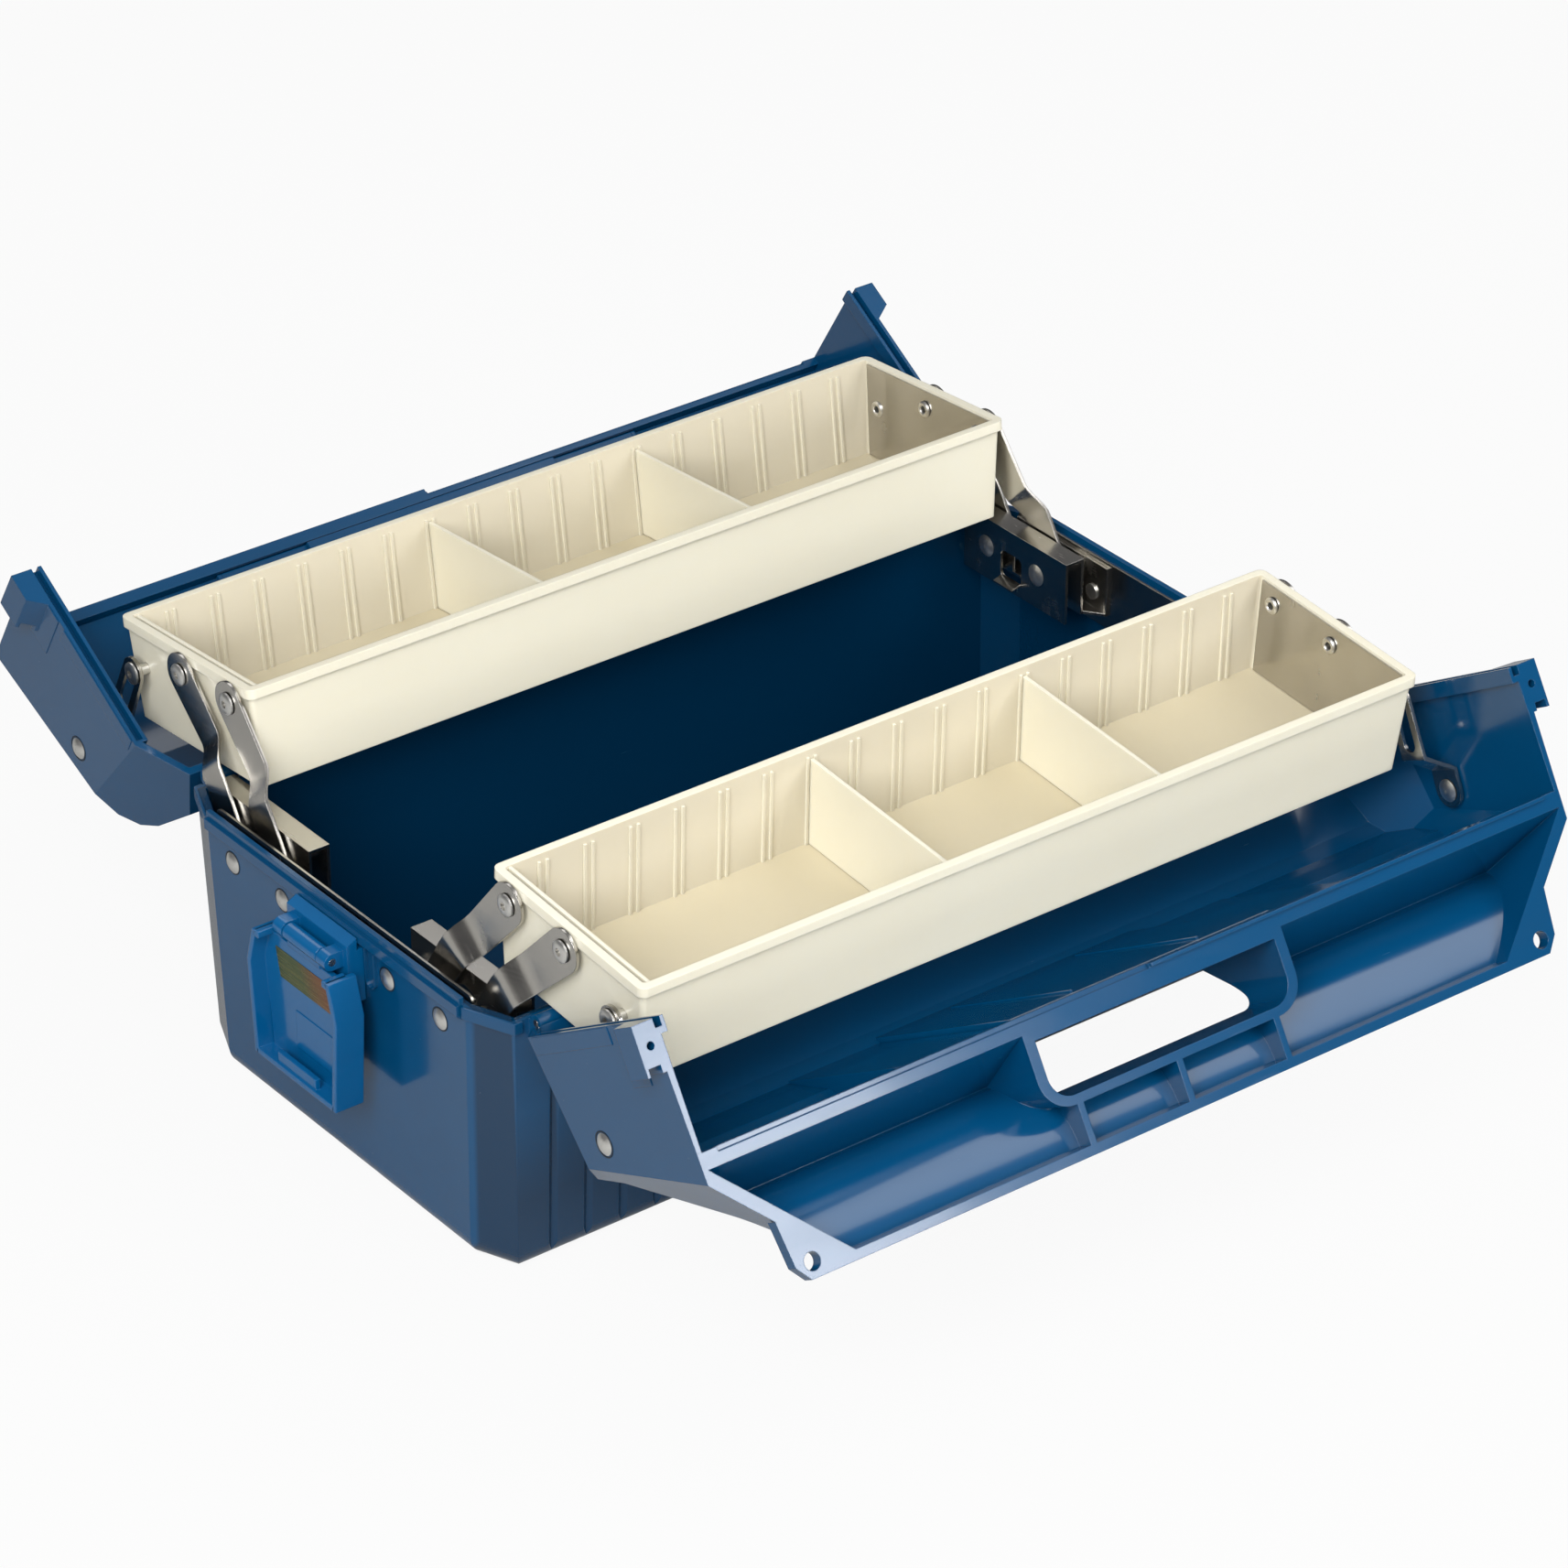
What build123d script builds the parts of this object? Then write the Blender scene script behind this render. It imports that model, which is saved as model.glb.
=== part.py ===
from build123d import *
import os
from math import atan2, cos, degrees, hypot, radians, sin, sqrt

# Two-way tool box, modelled standing open, in millimetres.
# X runs along the box, Y across it and Z up. The origin is the middle of the underside.
# Most pieces are worked out for the right end and the back side, where X and Y are positive,
# and mirrored to the other ends and sides. "Outboard" means away from the middle plane.

# Clearances
RUNNING_GAP = 0.1      # round a pin or rivet that something turns on
PRESS_GAP = 0.05       # round a pin or rivet that is held fast
SEAT_GAP = 0.3         # between faces that lie against each other
MEETING_GAP = 0.25     # from each lid's meeting face to the middle plane

# Body shell
BODY_LENGTH = 394.0    # over the end walls at the rim
BODY_WIDTH = 206.0     # over the side walls at the rim
BODY_HEIGHT = 111.3
BODY_WALL = 3.0
END_LEAN = 2.2         # how much further in an end wall stands at its foot
SIDE_LEAN = 4.5        # the same for a side wall
CORNER_X = 8.0         # run of the cut corners along the box
CORNER_Y = 19.0        # and across it
FOOT_RADIUS = 9.0      # round edge at the foot of the walls
RIM_SPAN = 82.0        # how far the end rims reach to each side of the middle
BEAD_DEPTH = 2.5       # how far the end bead stands out of the wall
BEAD_HEIGHT = 4.3
TONGUE_OUT = 1.3       # outer face of the rim tongue, from the wall's face
TONGUE_THICK = 2.0
TONGUE_HEIGHT = 3.0
FLUTE_PITCH = 15.6
FLUTES = 23
FLUTE_WIDTH = 5.0
FLUTE_DEPTH = 1.2
FLUTE_TOP_BAND = 7.0   # plain band under the rim

# Lid hinges
HINGE_OUT = 4.2        # hinge line outboard of the side wall
HINGE_DROP = 0.5       # and below the rim
HINGE_LENGTH = 366.0
KNUCKLES = 9
KNUCKLE_RADIUS = 3.2
KNUCKLE_GAP = 0.5
HINGE_PIN_RADIUS = 1.3
LID_SWING = 148.5      # degrees from closed to open

# Lid, given closed: widths from the middle plane, rises from the lid's lower edge
LID_WALL = 3.0
LID_SIDE_OUT = 0.5     # lid's lower edge outboard of the body wall
LID_END_OUT = 3.2      # lid's end wall outboard of the body's end wall
LID_END_LEAN = 1.2     # how much the end wall leans in up to the hip
LID_END_THICK = 3.0
BULGE = (3.1, 28.0)            # widest line of the side wall, out and up from its foot
SHOULDER_FOOT = (-5.9, 48.1)   # the same for the shoulder's lower edge
SHOULDER_TOP = (-11.7, 54.3)   # and its upper edge
ROOF_BREAK = (67.0, 58.0)      # where the roof turns steeper
RIDGE_FOOT = (48.0, 67.0)      # where the roof's steep part is measured
LID_RISE = 104.0               # top of the grip
GRIP_HALF = 10.0               # half thickness of the closed grip at the top
SKIN_RADIUS = 30.0             # hollow curve from the roof up to the grip
FACET_FOOT_X = 11.5            # cut corner of the lid, along the box
FACET_FOOT_Y = 16.7            # and across it
FACET_EDGE = 84.5              # cut corner's edge on the end wall, at the foot
FACET_LEAN_IN = 8.5            # how far that edge moves in
FACET_LEAN_X = 0.9
FACET_LEAN_UP = 44.8           # over this rise
HIP_RISE = 60.2                # foot of the 45 degree hip on the end wall, at the middle
HIP_FALL = 0.137               # slope of the hip's foot towards the side

# Lid's meeting face
STRIP_THICK = 3.5      # upright strip under the handle's hollows
STRIP_RISE = 48.8      # its lower edge
FLOOR_RISE = 55.0      # edge of the handle hollow's floor at the meeting face
FLOOR_SLOPE = 0.5227
POCKET_TOP_BAR = 3.7   # thickness of the bar along the grip's top
POCKET_END = 252.1     # x plus rise of the hollows' 45 degree end walls
LIP_HEIGHT = 1.4
LIP_OUT = 1.5
LIP_GAP = 0.4
LIP_LENGTH = 190.0
WINDOW_HALF = 55.5     # hand hole
WINDOW_SILL = 58.4     # at the middle plane
SILL_SLOPE = 0.106
WINDOW_REACH = 60.0    # the hole leaves the roof inside this distance
WINDOW_HEAD = 81.5
WINDOW_RADIUS = 9.0
FRAME_WALL = 4.5
FRAME_HEAD = 3.5
RIB_THICK = 2.8
RIB_STEP = 45.6
SCALLOPS = 6
SCALLOP_PITCH = 13.0
SCALLOP_RADIUS = 6.5
SCALLOP_DEPTH = 1.8
SCALLOP_START = 44.0   # from the middle plane to where the scallops start
EAR_THICK = 5.0
EAR_HOLE_RADIUS = 3.4
EAR_HOLE = (169.7, 98.0)
EAR_FOOT = 80.6        # lowest rise of the padlock ear
EAR_WIDE = 178.7
EAR_SIDE = (176.8, 98.1)
EAR_CORNER = 172.0
EAR_BASE = 155.0
CHANNEL_GAP = 0.4      # round the body's rim tongue
CHANNEL_WALL = 1.5
CHANNEL_RISE = 6.0
CHANNEL_SPAN = 84.0

# Boss in the middle of each lid's end wall, which the latch holds
BOSS_OUT = 7.4
BOSS_HALF = 12.0
BOSS_FOOT = 17.0
BOSS_RISE = 18.7
HOOK_DEPTH = 3.0
HOOK_LIP = 1.2
HOOK_WIDTH = 5.0
DOWEL_HOLE = (2.5, 8.5)
DOWEL_RADIUS = 1.5
DOWEL_DEPTH = 8.0

# Steel fittings in the body
SHEET = 1.2
END_PLATE_THICK = 1.0
END_PLATE_INSET = 0.8      # from the wall's inner face at the rim
END_PLATE_HALF = 83.0
END_PLATE_RISE = 2.2       # above the rim
END_PLATE_FOOT = 84.0
BRACKET_IN = 176.0         # inner face of the bracket
BRACKET_TOP = 115.0
BRACKET_FOOT = 88.0
BRACKET_STEP_FOOT = 90.0
BRACKET_STEP = 184.0       # inner face of the bracket's second wall
BRACKET_BACK_TOP = 111.5
BRACKET_NEAR = 33.0        # bracket's end next to the middle plane
BRACKET_FAR = 97.0
BRACKET_EAR = 25.5         # its back wall starts here
BRACKET_BACK_FAR = 82.0    # and ends here, clear of the cut corner
BRACKET_WINDOW = 13.0
BRACKET_WINDOW_FOOT = 93.0
BRACKET_WINDOW_TOP = 105.0
ARCH_HALF = 8.5
ARCH_RISE = 16.0
BODY_RIVETS_Y = (34.1, 67.5)
BODY_RIVETS_Z = 97.9
RIVET_SHANK = 2.0
RIVET_HEAD = 4.25
RIVET_HEAD_HEIGHT = 1.5
EYELET_RADIUS = 3.3
EYELET_HEIGHT = 0.7

# Arms
PIVOT_Z = 102.5
OUTER_PIVOT_Y = 83.0
INNER_PIVOT_Y = 51.5
OUTER_ARM = 60.69
OUTER_ARM_LEAN = 40.86     # degrees from upright, open
TRAY_PIVOT_STEP = 33.2     # between the arms' holes in the tray
ARM_SHEET = 1.5
ARM_LOW = 186.0            # inner face of an arm at the bracket
ARM_HIGH = 180.4           # and at the tray
ELBOW = (12.0, 19.0)       # bend of an arm, from its lower pivot
ARM_FOOT_RADIUS = 7.0
ARM_ELBOW_RADIUS = 7.6
ARM_HEAD_RADIUS = 8.6
FOLD_START = 2.5           # the arm's step inwards, along the blade from the elbow
FOLD_RUN = 5.0
ARM_PIVOT_RADIUS = 2.5
INNER_HOLE_GAP = 0.75      # the inner arm's loose hole at the tray
ARM_SIDE_GAP = 0.3
PIVOT_HEAD = 4.6
PIVOT_HEAD_HEIGHT = 1.4
COLLAR_RADIUS = 4.3        # collar that keeps an arm off the wall behind it

# Trays, given level: along the box, across from the tray's middle, down from the rim
TRAY_LENGTH = 360.0
TRAY_WIDTH = 89.9
TRAY_DEPTH = 42.3
TRAY_WALL = 2.0
TRAY_FLOOR = 2.0
TRAY_LEAN = 2.2
TRAY_CORNER = 2.0
RIM_BAND_OUT = 1.4
RIM_BAND_HEIGHT = 4.0
TRAY_TILT = 4.5            # degrees, outer edge lower when open
TRAY_PIVOT = (0.97, 8.55)  # outer arm's hole, outboard and down from the rim's middle
LINK_HOLE = (32.2, 18.5)   # link's hole, the same way
SLOT_PITCH = 20.0
SLOTS = 17
SLOT_RIB = 1.2
SLOT_RIB_OUT = 0.9
DIVIDER_THICK = 1.6
DIVIDER_GAP = 0.3
DIVIDER_SLOTS = (-2, 3)    # which slots hold a divider, counted from the middle
DIVIDER_TOP = 4.0          # below the rim
TRAY_PLATE = 0.8           # steel plate inside a tray's end
PLATE_TOP = 1.0            # its top edge below the rim

# Links
LINK_PIVOT = (58.5, 41.5)  # in the closed lid, across and up from its lower edge
LINK_TRIM = -1.06          # degrees between the slot and the straight line to the tray
LINK_RADIUS = 7.0
LINK_END_RADIUS = 6.0
LINK_LOW = 195.0           # inner face at the lid
LINK_HIGH = 182.4          # and at the tray
LINK_FOLD = 8.0
LINK_FOLD_RUN = 8.0
LINK_SLOT = (22.2, 39.6)
LINK_SLOT_RADIUS = 3.2
LINK_PIN_RADIUS = 2.25
LID_RIVET_RADIUS = 2.0

# Latches
LATCH_PIN_X = 209.0
LATCH_PIN_Z = 101.0
LATCH_PIN_RADIUS = 1.5
LATCH_PIN_HALF = 17.0
LATCH_KNUCKLE_RADIUS = 3.5
LATCH_BARREL_HALF = 11.0
LATCH_KNUCKLE_GAP = 0.3
BASE_HALF = 19.5
BASE_FOOT = 82.0
BASE_TOP = 109.2
BASE_OUT = 204.2
LEVER_BACK = 204.0
LEVER_FRONT = 216.5
LEVER_PANEL = 207.5        # back face of the lever's panel
LEVER_PANEL_THICK = 2.5
LEVER_WALL = 3.2
LEVER_TOP = 98.0
LEVER_SHOULDER = 83.0
LEVER_FOOT = 43.5
LEVER_TOP_HALF = 25.0
LEVER_WIDE_HALF = 29.4
LEVER_FOOT_HALF = 26.6
LEVER_NOTCH_HALF = 20.5
LEVER_PANEL_TOP = 95.5
CATCH_HALF = 12.0
CATCH_REACH = 30.6         # from the pin to the catch
CATCH_THICK = 2.0
CATCH_OUT = 4.5
PULL_LIP_FOOT = 47.0
PULL_LIP_THICK = 2.5
FOIL_TOP = 91.0
FOIL_FOOT = 79.0
FOIL_TOP_HALF = 19.0
FOIL_FOOT_HALF = 16.4
FOIL_THICK = 0.25

# Values worked out from those above
RIM_X = BODY_LENGTH / 2
RIM_Y = BODY_WIDTH / 2
HINGE = (RIM_Y + HINGE_OUT, BODY_HEIGHT - HINGE_DROP)
LID_BASE = BODY_HEIGHT + SEAT_GAP
LID_SIDE = RIM_Y + LID_SIDE_OUT
LID_END = RIM_X + LID_END_OUT
LID_END_INNER = LID_END - LID_END_THICK
LID_TOP = LID_BASE + LID_RISE
SKIN_CENTRE = (GRIP_HALF + SKIN_RADIUS, LID_TOP)
POCKET_RADIUS = SKIN_RADIUS + LID_WALL
POCKET_TOP = LID_TOP - POCKET_TOP_BAR
TONGUE_FACE = RIM_X + TONGUE_OUT
LEFT_RIGHT = (("left", -1), ("right", 1))
FRONT_BACK = (("front", -1), ("back", 1))

os.makedirs("parts", exist_ok=True)


def save(part, name):
    """Label a finished piece and write it."""
    part.label = name
    export_step(part, f"parts/{name}.step")


def corner_of(part, end, side):
    """A right, back piece mirrored to another end and side, each given as 1 or -1."""
    moved = part if end > 0 else mirror(part, about=Plane.YZ)
    return moved if side > 0 else mirror(moved, about=Plane.XZ)


def turned(point, centre, angle):
    """A point of the across-and-up plane, turned about a centre by degrees."""
    across, up = point[0] - centre[0], point[1] - centre[1]
    c, s = cos(radians(angle)), sin(radians(angle))
    return (centre[0] + across * c - up * s, centre[1] + across * s + up * c)


def strap(start, end, start_radius, end_radius):
    """A flat strap with round ends between two points of a sketch."""
    first = Pos(*start) * Circle(start_radius, mode=Mode.PRIVATE)
    last = Pos(*end) * Circle(end_radius, mode=Mode.PRIVATE)
    return make_hull(first.edges() + last.edges(), mode=Mode.PRIVATE)


def end_wall_x(height):
    """Outer face of the body's end wall at a height."""
    return RIM_X - END_LEAN * (1 - height / BODY_HEIGHT)


def side_wall_y(height):
    """Outer face of the body's side wall at a height."""
    return RIM_Y - SIDE_LEAN * (1 - height / BODY_HEIGHT)


def body_outline(height):
    """Corners of the body's outline at a height, with the four corners cut off."""
    x, y = end_wall_x(height), side_wall_y(height)
    right = [(x, CORNER_Y - y), (x, y - CORNER_Y), (x - CORNER_X, y)]
    left = [(CORNER_X - x, y), (-x, y - CORNER_Y), (-x, CORNER_Y - y)]
    return right + left + [(CORNER_X - x, -y), (x - CORNER_X, -y)]


def knuckle_centres(first):
    """Places of every second hinge knuckle along the box."""
    return [HINGE_LENGTH * ((i + 0.5) / KNUCKLES - 0.5) for i in range(first, KNUCKLES, 2)]


KNUCKLE_HALF = (HINGE_LENGTH / KNUCKLES - KNUCKLE_GAP) / 2


def flute_plane(foot, top):
    """Plane square to a wall's flutes at their foot, its Y axis pointing into the wall."""
    return Plane(
        origin=(0, foot[0], foot[1]),
        x_dir=(-1, 0, 0),
        z_dir=(0, top[0] - foot[0], top[1] - foot[1]),
    )


def flute_grooves(foot, top):
    """Row of V grooves across a wall, ready to be cut from one point of its section."""
    with BuildSketch(flute_plane(foot, top)) as grooves:
        with GridLocations(FLUTE_PITCH, 1, FLUTES, 1):
            Polygon(
                (-FLUTE_WIDTH / 2, -FLUTE_DEPTH / 4),
                (FLUTE_WIDTH / 2, -FLUTE_DEPTH / 4),
                (0, FLUTE_DEPTH),
                align=None,
            )
    return grooves.sketch


def rise_between(foot, top):
    """Distance between two points of a section."""
    return hypot(top[0] - foot[0], top[1] - foot[1])


def rivet(across, up, steps, domes=()):
    """A fastener along X at a place across and up.

    Steps are (start, end, radius) cylinders and domes are (base, tip, radius) heads.
    """
    with BuildPart() as piece:
        for start, end, radius in steps:
            with Locations(((start + end) / 2, across, up)):
                Cylinder(radius, end - start, rotation=(0, 90, 0))
        for base, tip, radius in domes:
            height = tip - base
            sphere = (radius**2 + height**2) / (2 * height)
            halfway = tip - sphere + sphere * sqrt(1 - (radius / 2 / sphere) ** 2)
            with BuildSketch(Plane((0, across, up), x_dir=(1, 0, 0), z_dir=(0, -1, 0))):
                with BuildLine():
                    ThreePointArc((base, radius), (halfway, radius / 2), (tip, 0))
                    Polyline((tip, 0), (base, 0), (base, radius))
                make_face()
            revolve(axis=Axis((0, across, up), (1, 0, 0)))
    return piece.part


# Body shell
with BuildPart() as body_space:
    with BuildSketch(Plane.XY.offset(BODY_WALL)):
        Polygon(*body_outline(BODY_WALL), align=None)
        offset(amount=-BODY_WALL)
    with BuildSketch(Plane.XY.offset(BODY_HEIGHT + BODY_WALL)):
        Polygon(*body_outline(BODY_HEIGHT + BODY_WALL), align=None)
        offset(amount=-BODY_WALL)
    loft()
    fillet(body_space.edges().group_by(Axis.Z)[0], FOOT_RADIUS - BODY_WALL)

with BuildPart() as body_shell:
    with BuildSketch(Plane.XY):
        Polygon(*body_outline(0), align=None)
    with BuildSketch(Plane.XY.offset(BODY_HEIGHT)):
        Polygon(*body_outline(BODY_HEIGHT), align=None)
    loft()
    fillet(body_shell.edges().group_by(Axis.Z)[0], FOOT_RADIUS)
    flute_foot = (side_wall_y(-FLUTE_DEPTH), -FLUTE_DEPTH)
    flute_top = (side_wall_y(BODY_HEIGHT - FLUTE_TOP_BAND), BODY_HEIGHT - FLUTE_TOP_BAND)
    extrude(
        flute_grooves(flute_foot, flute_top),
        amount=rise_between(flute_foot, flute_top),
        mode=Mode.SUBTRACT,
    )
    with BuildSketch(Plane.XY):
        Rectangle(BODY_LENGTH, BODY_WIDTH / 2, align=(Align.CENTER, Align.MAX))
    extrude(amount=BODY_HEIGHT, mode=Mode.SUBTRACT)
    mirror(about=Plane.XZ)
    add(body_space.part, mode=Mode.SUBTRACT)
    with BuildSketch(Plane.XZ):
        Polygon(
            (TONGUE_FACE - TONGUE_THICK, BODY_HEIGHT - BEAD_HEIGHT),
            (TONGUE_FACE - TONGUE_THICK, BODY_HEIGHT + TONGUE_HEIGHT),
            (TONGUE_FACE, BODY_HEIGHT + TONGUE_HEIGHT),
            (TONGUE_FACE, BODY_HEIGHT),
            (RIM_X + BEAD_DEPTH, BODY_HEIGHT),
            (RIM_X + BEAD_DEPTH, BODY_HEIGHT - BEAD_HEIGHT),
            (RIM_X - TONGUE_THICK / 4, BODY_HEIGHT - BEAD_HEIGHT - BEAD_DEPTH),
            align=None,
        )
        mirror(about=Plane.YZ)
    extrude(amount=RIM_SPAN, both=True)
    for knuckle_x in knuckle_centres(0):
        with BuildSketch(Plane.YZ.offset(knuckle_x)):
            with Locations(HINGE):
                Circle(KNUCKLE_RADIUS)
            Polygon(
                (RIM_Y - BODY_WALL / 2, HINGE[1]),
                (HINGE[0], HINGE[1]),
                (HINGE[0] + KNUCKLE_RADIUS * sqrt(0.5), HINGE[1] - KNUCKLE_RADIUS * sqrt(0.5)),
                (RIM_Y - BODY_WALL / 2, HINGE[1] - 3 * KNUCKLE_RADIUS),
                align=None,
            )
            mirror(about=Plane.YZ)
        extrude(amount=KNUCKLE_HALF, both=True)
    with Locations((0, HINGE[0], HINGE[1]), (0, -HINGE[0], HINGE[1])):
        Cylinder(
            HINGE_PIN_RADIUS + PRESS_GAP, HINGE_LENGTH, rotation=(0, 90, 0), mode=Mode.SUBTRACT
        )
    with Locations(*[(0, s * y, BODY_RIVETS_Z) for y in BODY_RIVETS_Y for s in (-1, 1)]):
        Cylinder(
            RIVET_SHANK + PRESS_GAP, 2 * RIM_X, rotation=(0, 90, 0), mode=Mode.SUBTRACT
        )
body_shell.part.label = "body_shell"
export_step(body_shell.part, "parts/body_shell.step")

# Hinge pins
for side_name, side in FRONT_BACK:
    with BuildPart() as hinge_pin:
        with Locations((0, side * HINGE[0], HINGE[1])):
            Cylinder(HINGE_PIN_RADIUS, HINGE_LENGTH, rotation=(0, 90, 0))
    save(hinge_pin.part, f"hinge_pin_{side_name}")

# Steel plate that lines each end wall
END_PLATE_FACE = RIM_X - BODY_WALL - END_PLATE_INSET
for end_name, end in LEFT_RIGHT:
    with BuildPart() as end_plate:
        with BuildSketch(Plane.YZ.offset(END_PLATE_FACE - END_PLATE_THICK)):
            plate_height = BODY_HEIGHT + END_PLATE_RISE - END_PLATE_FOOT
            with Locations((0, END_PLATE_FOOT + plate_height / 2)):
                Rectangle(2 * END_PLATE_HALF, plate_height)
            with Locations(*[(s * y, BODY_RIVETS_Z) for y in BODY_RIVETS_Y for s in (-1, 1)]):
                Circle(RIVET_SHANK + PRESS_GAP, mode=Mode.SUBTRACT)
        extrude(amount=END_PLATE_THICK)
        fillet(end_plate.edges().filter_by(Axis.X).group_by(Axis.Z)[-1], 3 * END_PLATE_THICK)
    save(corner_of(end_plate.part, end, 1), f"end_plate_{end_name}")

# Folded brackets that carry the arms
BRACKET_BACK = END_PLATE_FACE - END_PLATE_THICK - PRESS_GAP
with BuildPart() as arm_bracket:
    with BuildSketch(Plane.XZ.offset(-BRACKET_EAR)):
        Polygon(
            (BRACKET_IN, BRACKET_FOOT),
            (BRACKET_IN + SHEET, BRACKET_FOOT),
            (BRACKET_IN + SHEET, BRACKET_TOP - SHEET),
            (BRACKET_STEP, BRACKET_TOP - SHEET),
            (BRACKET_STEP, BRACKET_STEP_FOOT),
            (BRACKET_BACK, BRACKET_STEP_FOOT),
            (BRACKET_BACK, BRACKET_BACK_TOP),
            (BRACKET_BACK - SHEET, BRACKET_BACK_TOP),
            (BRACKET_BACK - SHEET, BRACKET_STEP_FOOT + SHEET),
            (BRACKET_STEP + SHEET, BRACKET_STEP_FOOT + SHEET),
            (BRACKET_STEP + SHEET, BRACKET_TOP),
            (BRACKET_IN, BRACKET_TOP),
            align=None,
        )
    extrude(amount=BRACKET_EAR - BRACKET_FAR)
    # The folds start further out than the back wall and run past the cut corner
    with BuildSketch(Plane.XY.offset(BRACKET_FOOT)):
        Polygon(
            (BRACKET_IN, BRACKET_EAR),
            (BRACKET_BACK - SHEET, BRACKET_EAR),
            (BRACKET_STEP + SHEET, BRACKET_NEAR),
            (BRACKET_IN, BRACKET_NEAR),
            align=None,
        )
        Polygon(
            (BRACKET_STEP + SHEET, BRACKET_BACK_FAR),
            (BRACKET_BACK, BRACKET_BACK_FAR),
            (BRACKET_BACK, BRACKET_FAR),
            (BRACKET_STEP + SHEET, BRACKET_FAR),
            align=None,
        )
    extrude(amount=BRACKET_TOP - BRACKET_FOOT, mode=Mode.SUBTRACT)
    pivot_middle = (OUTER_PIVOT_Y + INNER_PIVOT_Y) / 2
    with BuildSketch(Plane.YZ.offset(BRACKET_IN)):
        window_height = BRACKET_WINDOW_TOP - BRACKET_WINDOW_FOOT
        with Locations((pivot_middle, BRACKET_WINDOW_FOOT + window_height / 2)):
            RectangleRounded(BRACKET_WINDOW, window_height, 2 * SHEET)
    extrude(amount=SHEET, mode=Mode.SUBTRACT)
    with BuildSketch(Plane.YZ.offset(BRACKET_STEP)):
        with Locations((pivot_middle, BRACKET_STEP_FOOT + SHEET)):
            Rectangle(2 * ARCH_HALF, ARCH_RISE - ARCH_HALF, align=(Align.CENTER, Align.MIN))
        with Locations((pivot_middle, BRACKET_STEP_FOOT + SHEET + ARCH_RISE - ARCH_HALF)):
            Circle(ARCH_HALF)
    extrude(amount=SHEET, mode=Mode.SUBTRACT)
    with Locations((BRACKET_IN, OUTER_PIVOT_Y, PIVOT_Z), (BRACKET_IN, INNER_PIVOT_Y, PIVOT_Z)):
        Cylinder(
            ARM_PIVOT_RADIUS + PRESS_GAP,
            2 * (BRACKET_STEP + SHEET - BRACKET_IN),
            rotation=(0, 90, 0),
            mode=Mode.SUBTRACT,
        )
    with Locations(*[(BRACKET_BACK, y, BODY_RIVETS_Z) for y in BODY_RIVETS_Y]):
        Cylinder(RIVET_SHANK + PRESS_GAP, 4 * SHEET, rotation=(0, 90, 0), mode=Mode.SUBTRACT)

for end_name, end in LEFT_RIGHT:
    for side_name, side in FRONT_BACK:
        save(
            corner_of(arm_bracket.part, end, side),
            f"arm_bracket_{end_name}_{side_name}",
        )


# Rivets through the body's end wall, the end plate and the bracket
wall_face = end_wall_x(BODY_RIVETS_Z) + 2 * PRESS_GAP
eyelet_face = BRACKET_BACK - SHEET - PRESS_GAP
wall_rivets = [
    rivet(
        rivet_y,
        BODY_RIVETS_Z,
        [
            (eyelet_face - EYELET_HEIGHT, eyelet_face, EYELET_RADIUS),
            (eyelet_face, wall_face, RIVET_SHANK),
        ],
        [(wall_face, wall_face + RIVET_HEAD_HEIGHT, RIVET_HEAD)],
    )
    for rivet_y in BODY_RIVETS_Y
]
with BuildPart() as body_rivets:
    add(wall_rivets)
    mirror(about=Plane.XZ)
    mirror(about=Plane.YZ)
save(body_rivets.part, "body_rivets")

# Rivets that the arms turn on in the brackets
arm_outer_face = ARM_LOW + ARM_SHEET
bracket_outer_face = BRACKET_STEP + SHEET
arm_rivets = [
    rivet(
        pivot_y,
        PIVOT_Z,
        [
            (BRACKET_IN - PRESS_GAP, arm_outer_face + ARM_SIDE_GAP, ARM_PIVOT_RADIUS),
            (bracket_outer_face + PRESS_GAP, ARM_LOW - ARM_SIDE_GAP, COLLAR_RADIUS),
        ],
        [
            (BRACKET_IN - PRESS_GAP, BRACKET_IN - PRESS_GAP - PIVOT_HEAD_HEIGHT, PIVOT_HEAD),
            (
                arm_outer_face + ARM_SIDE_GAP,
                arm_outer_face + ARM_SIDE_GAP + PIVOT_HEAD_HEIGHT,
                PIVOT_HEAD,
            ),
        ],
    )
    for pivot_y in (OUTER_PIVOT_Y, INNER_PIVOT_Y)
]
with BuildPart() as pivot_rivets:
    add(arm_rivets)
    mirror(about=Plane.XZ)
    mirror(about=Plane.YZ)
save(pivot_rivets.part, "pivot_rivets")

# Places of the tray's pivots with the box open, worked out from the arms
OUTER_PIVOT = (OUTER_PIVOT_Y, PIVOT_Z)
INNER_PIVOT = (INNER_PIVOT_Y, PIVOT_Z)
TRAY_OUTER = (
    OUTER_PIVOT_Y + OUTER_ARM * sin(radians(OUTER_ARM_LEAN)),
    PIVOT_Z + OUTER_ARM * cos(radians(OUTER_ARM_LEAN)),
)


def in_tray(across, down):
    """Open place of a point of the level tray, given from the middle of its rim."""
    level = (TRAY_OUTER[0] - TRAY_PIVOT[0] + across, TRAY_OUTER[1] + TRAY_PIVOT[1] - down)
    return turned(level, TRAY_OUTER, -TRAY_TILT)


TRAY_INNER = in_tray(TRAY_PIVOT[0] - TRAY_PIVOT_STEP, TRAY_PIVOT[1])
TRAY_LINK = in_tray(*LINK_HOLE)


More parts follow.
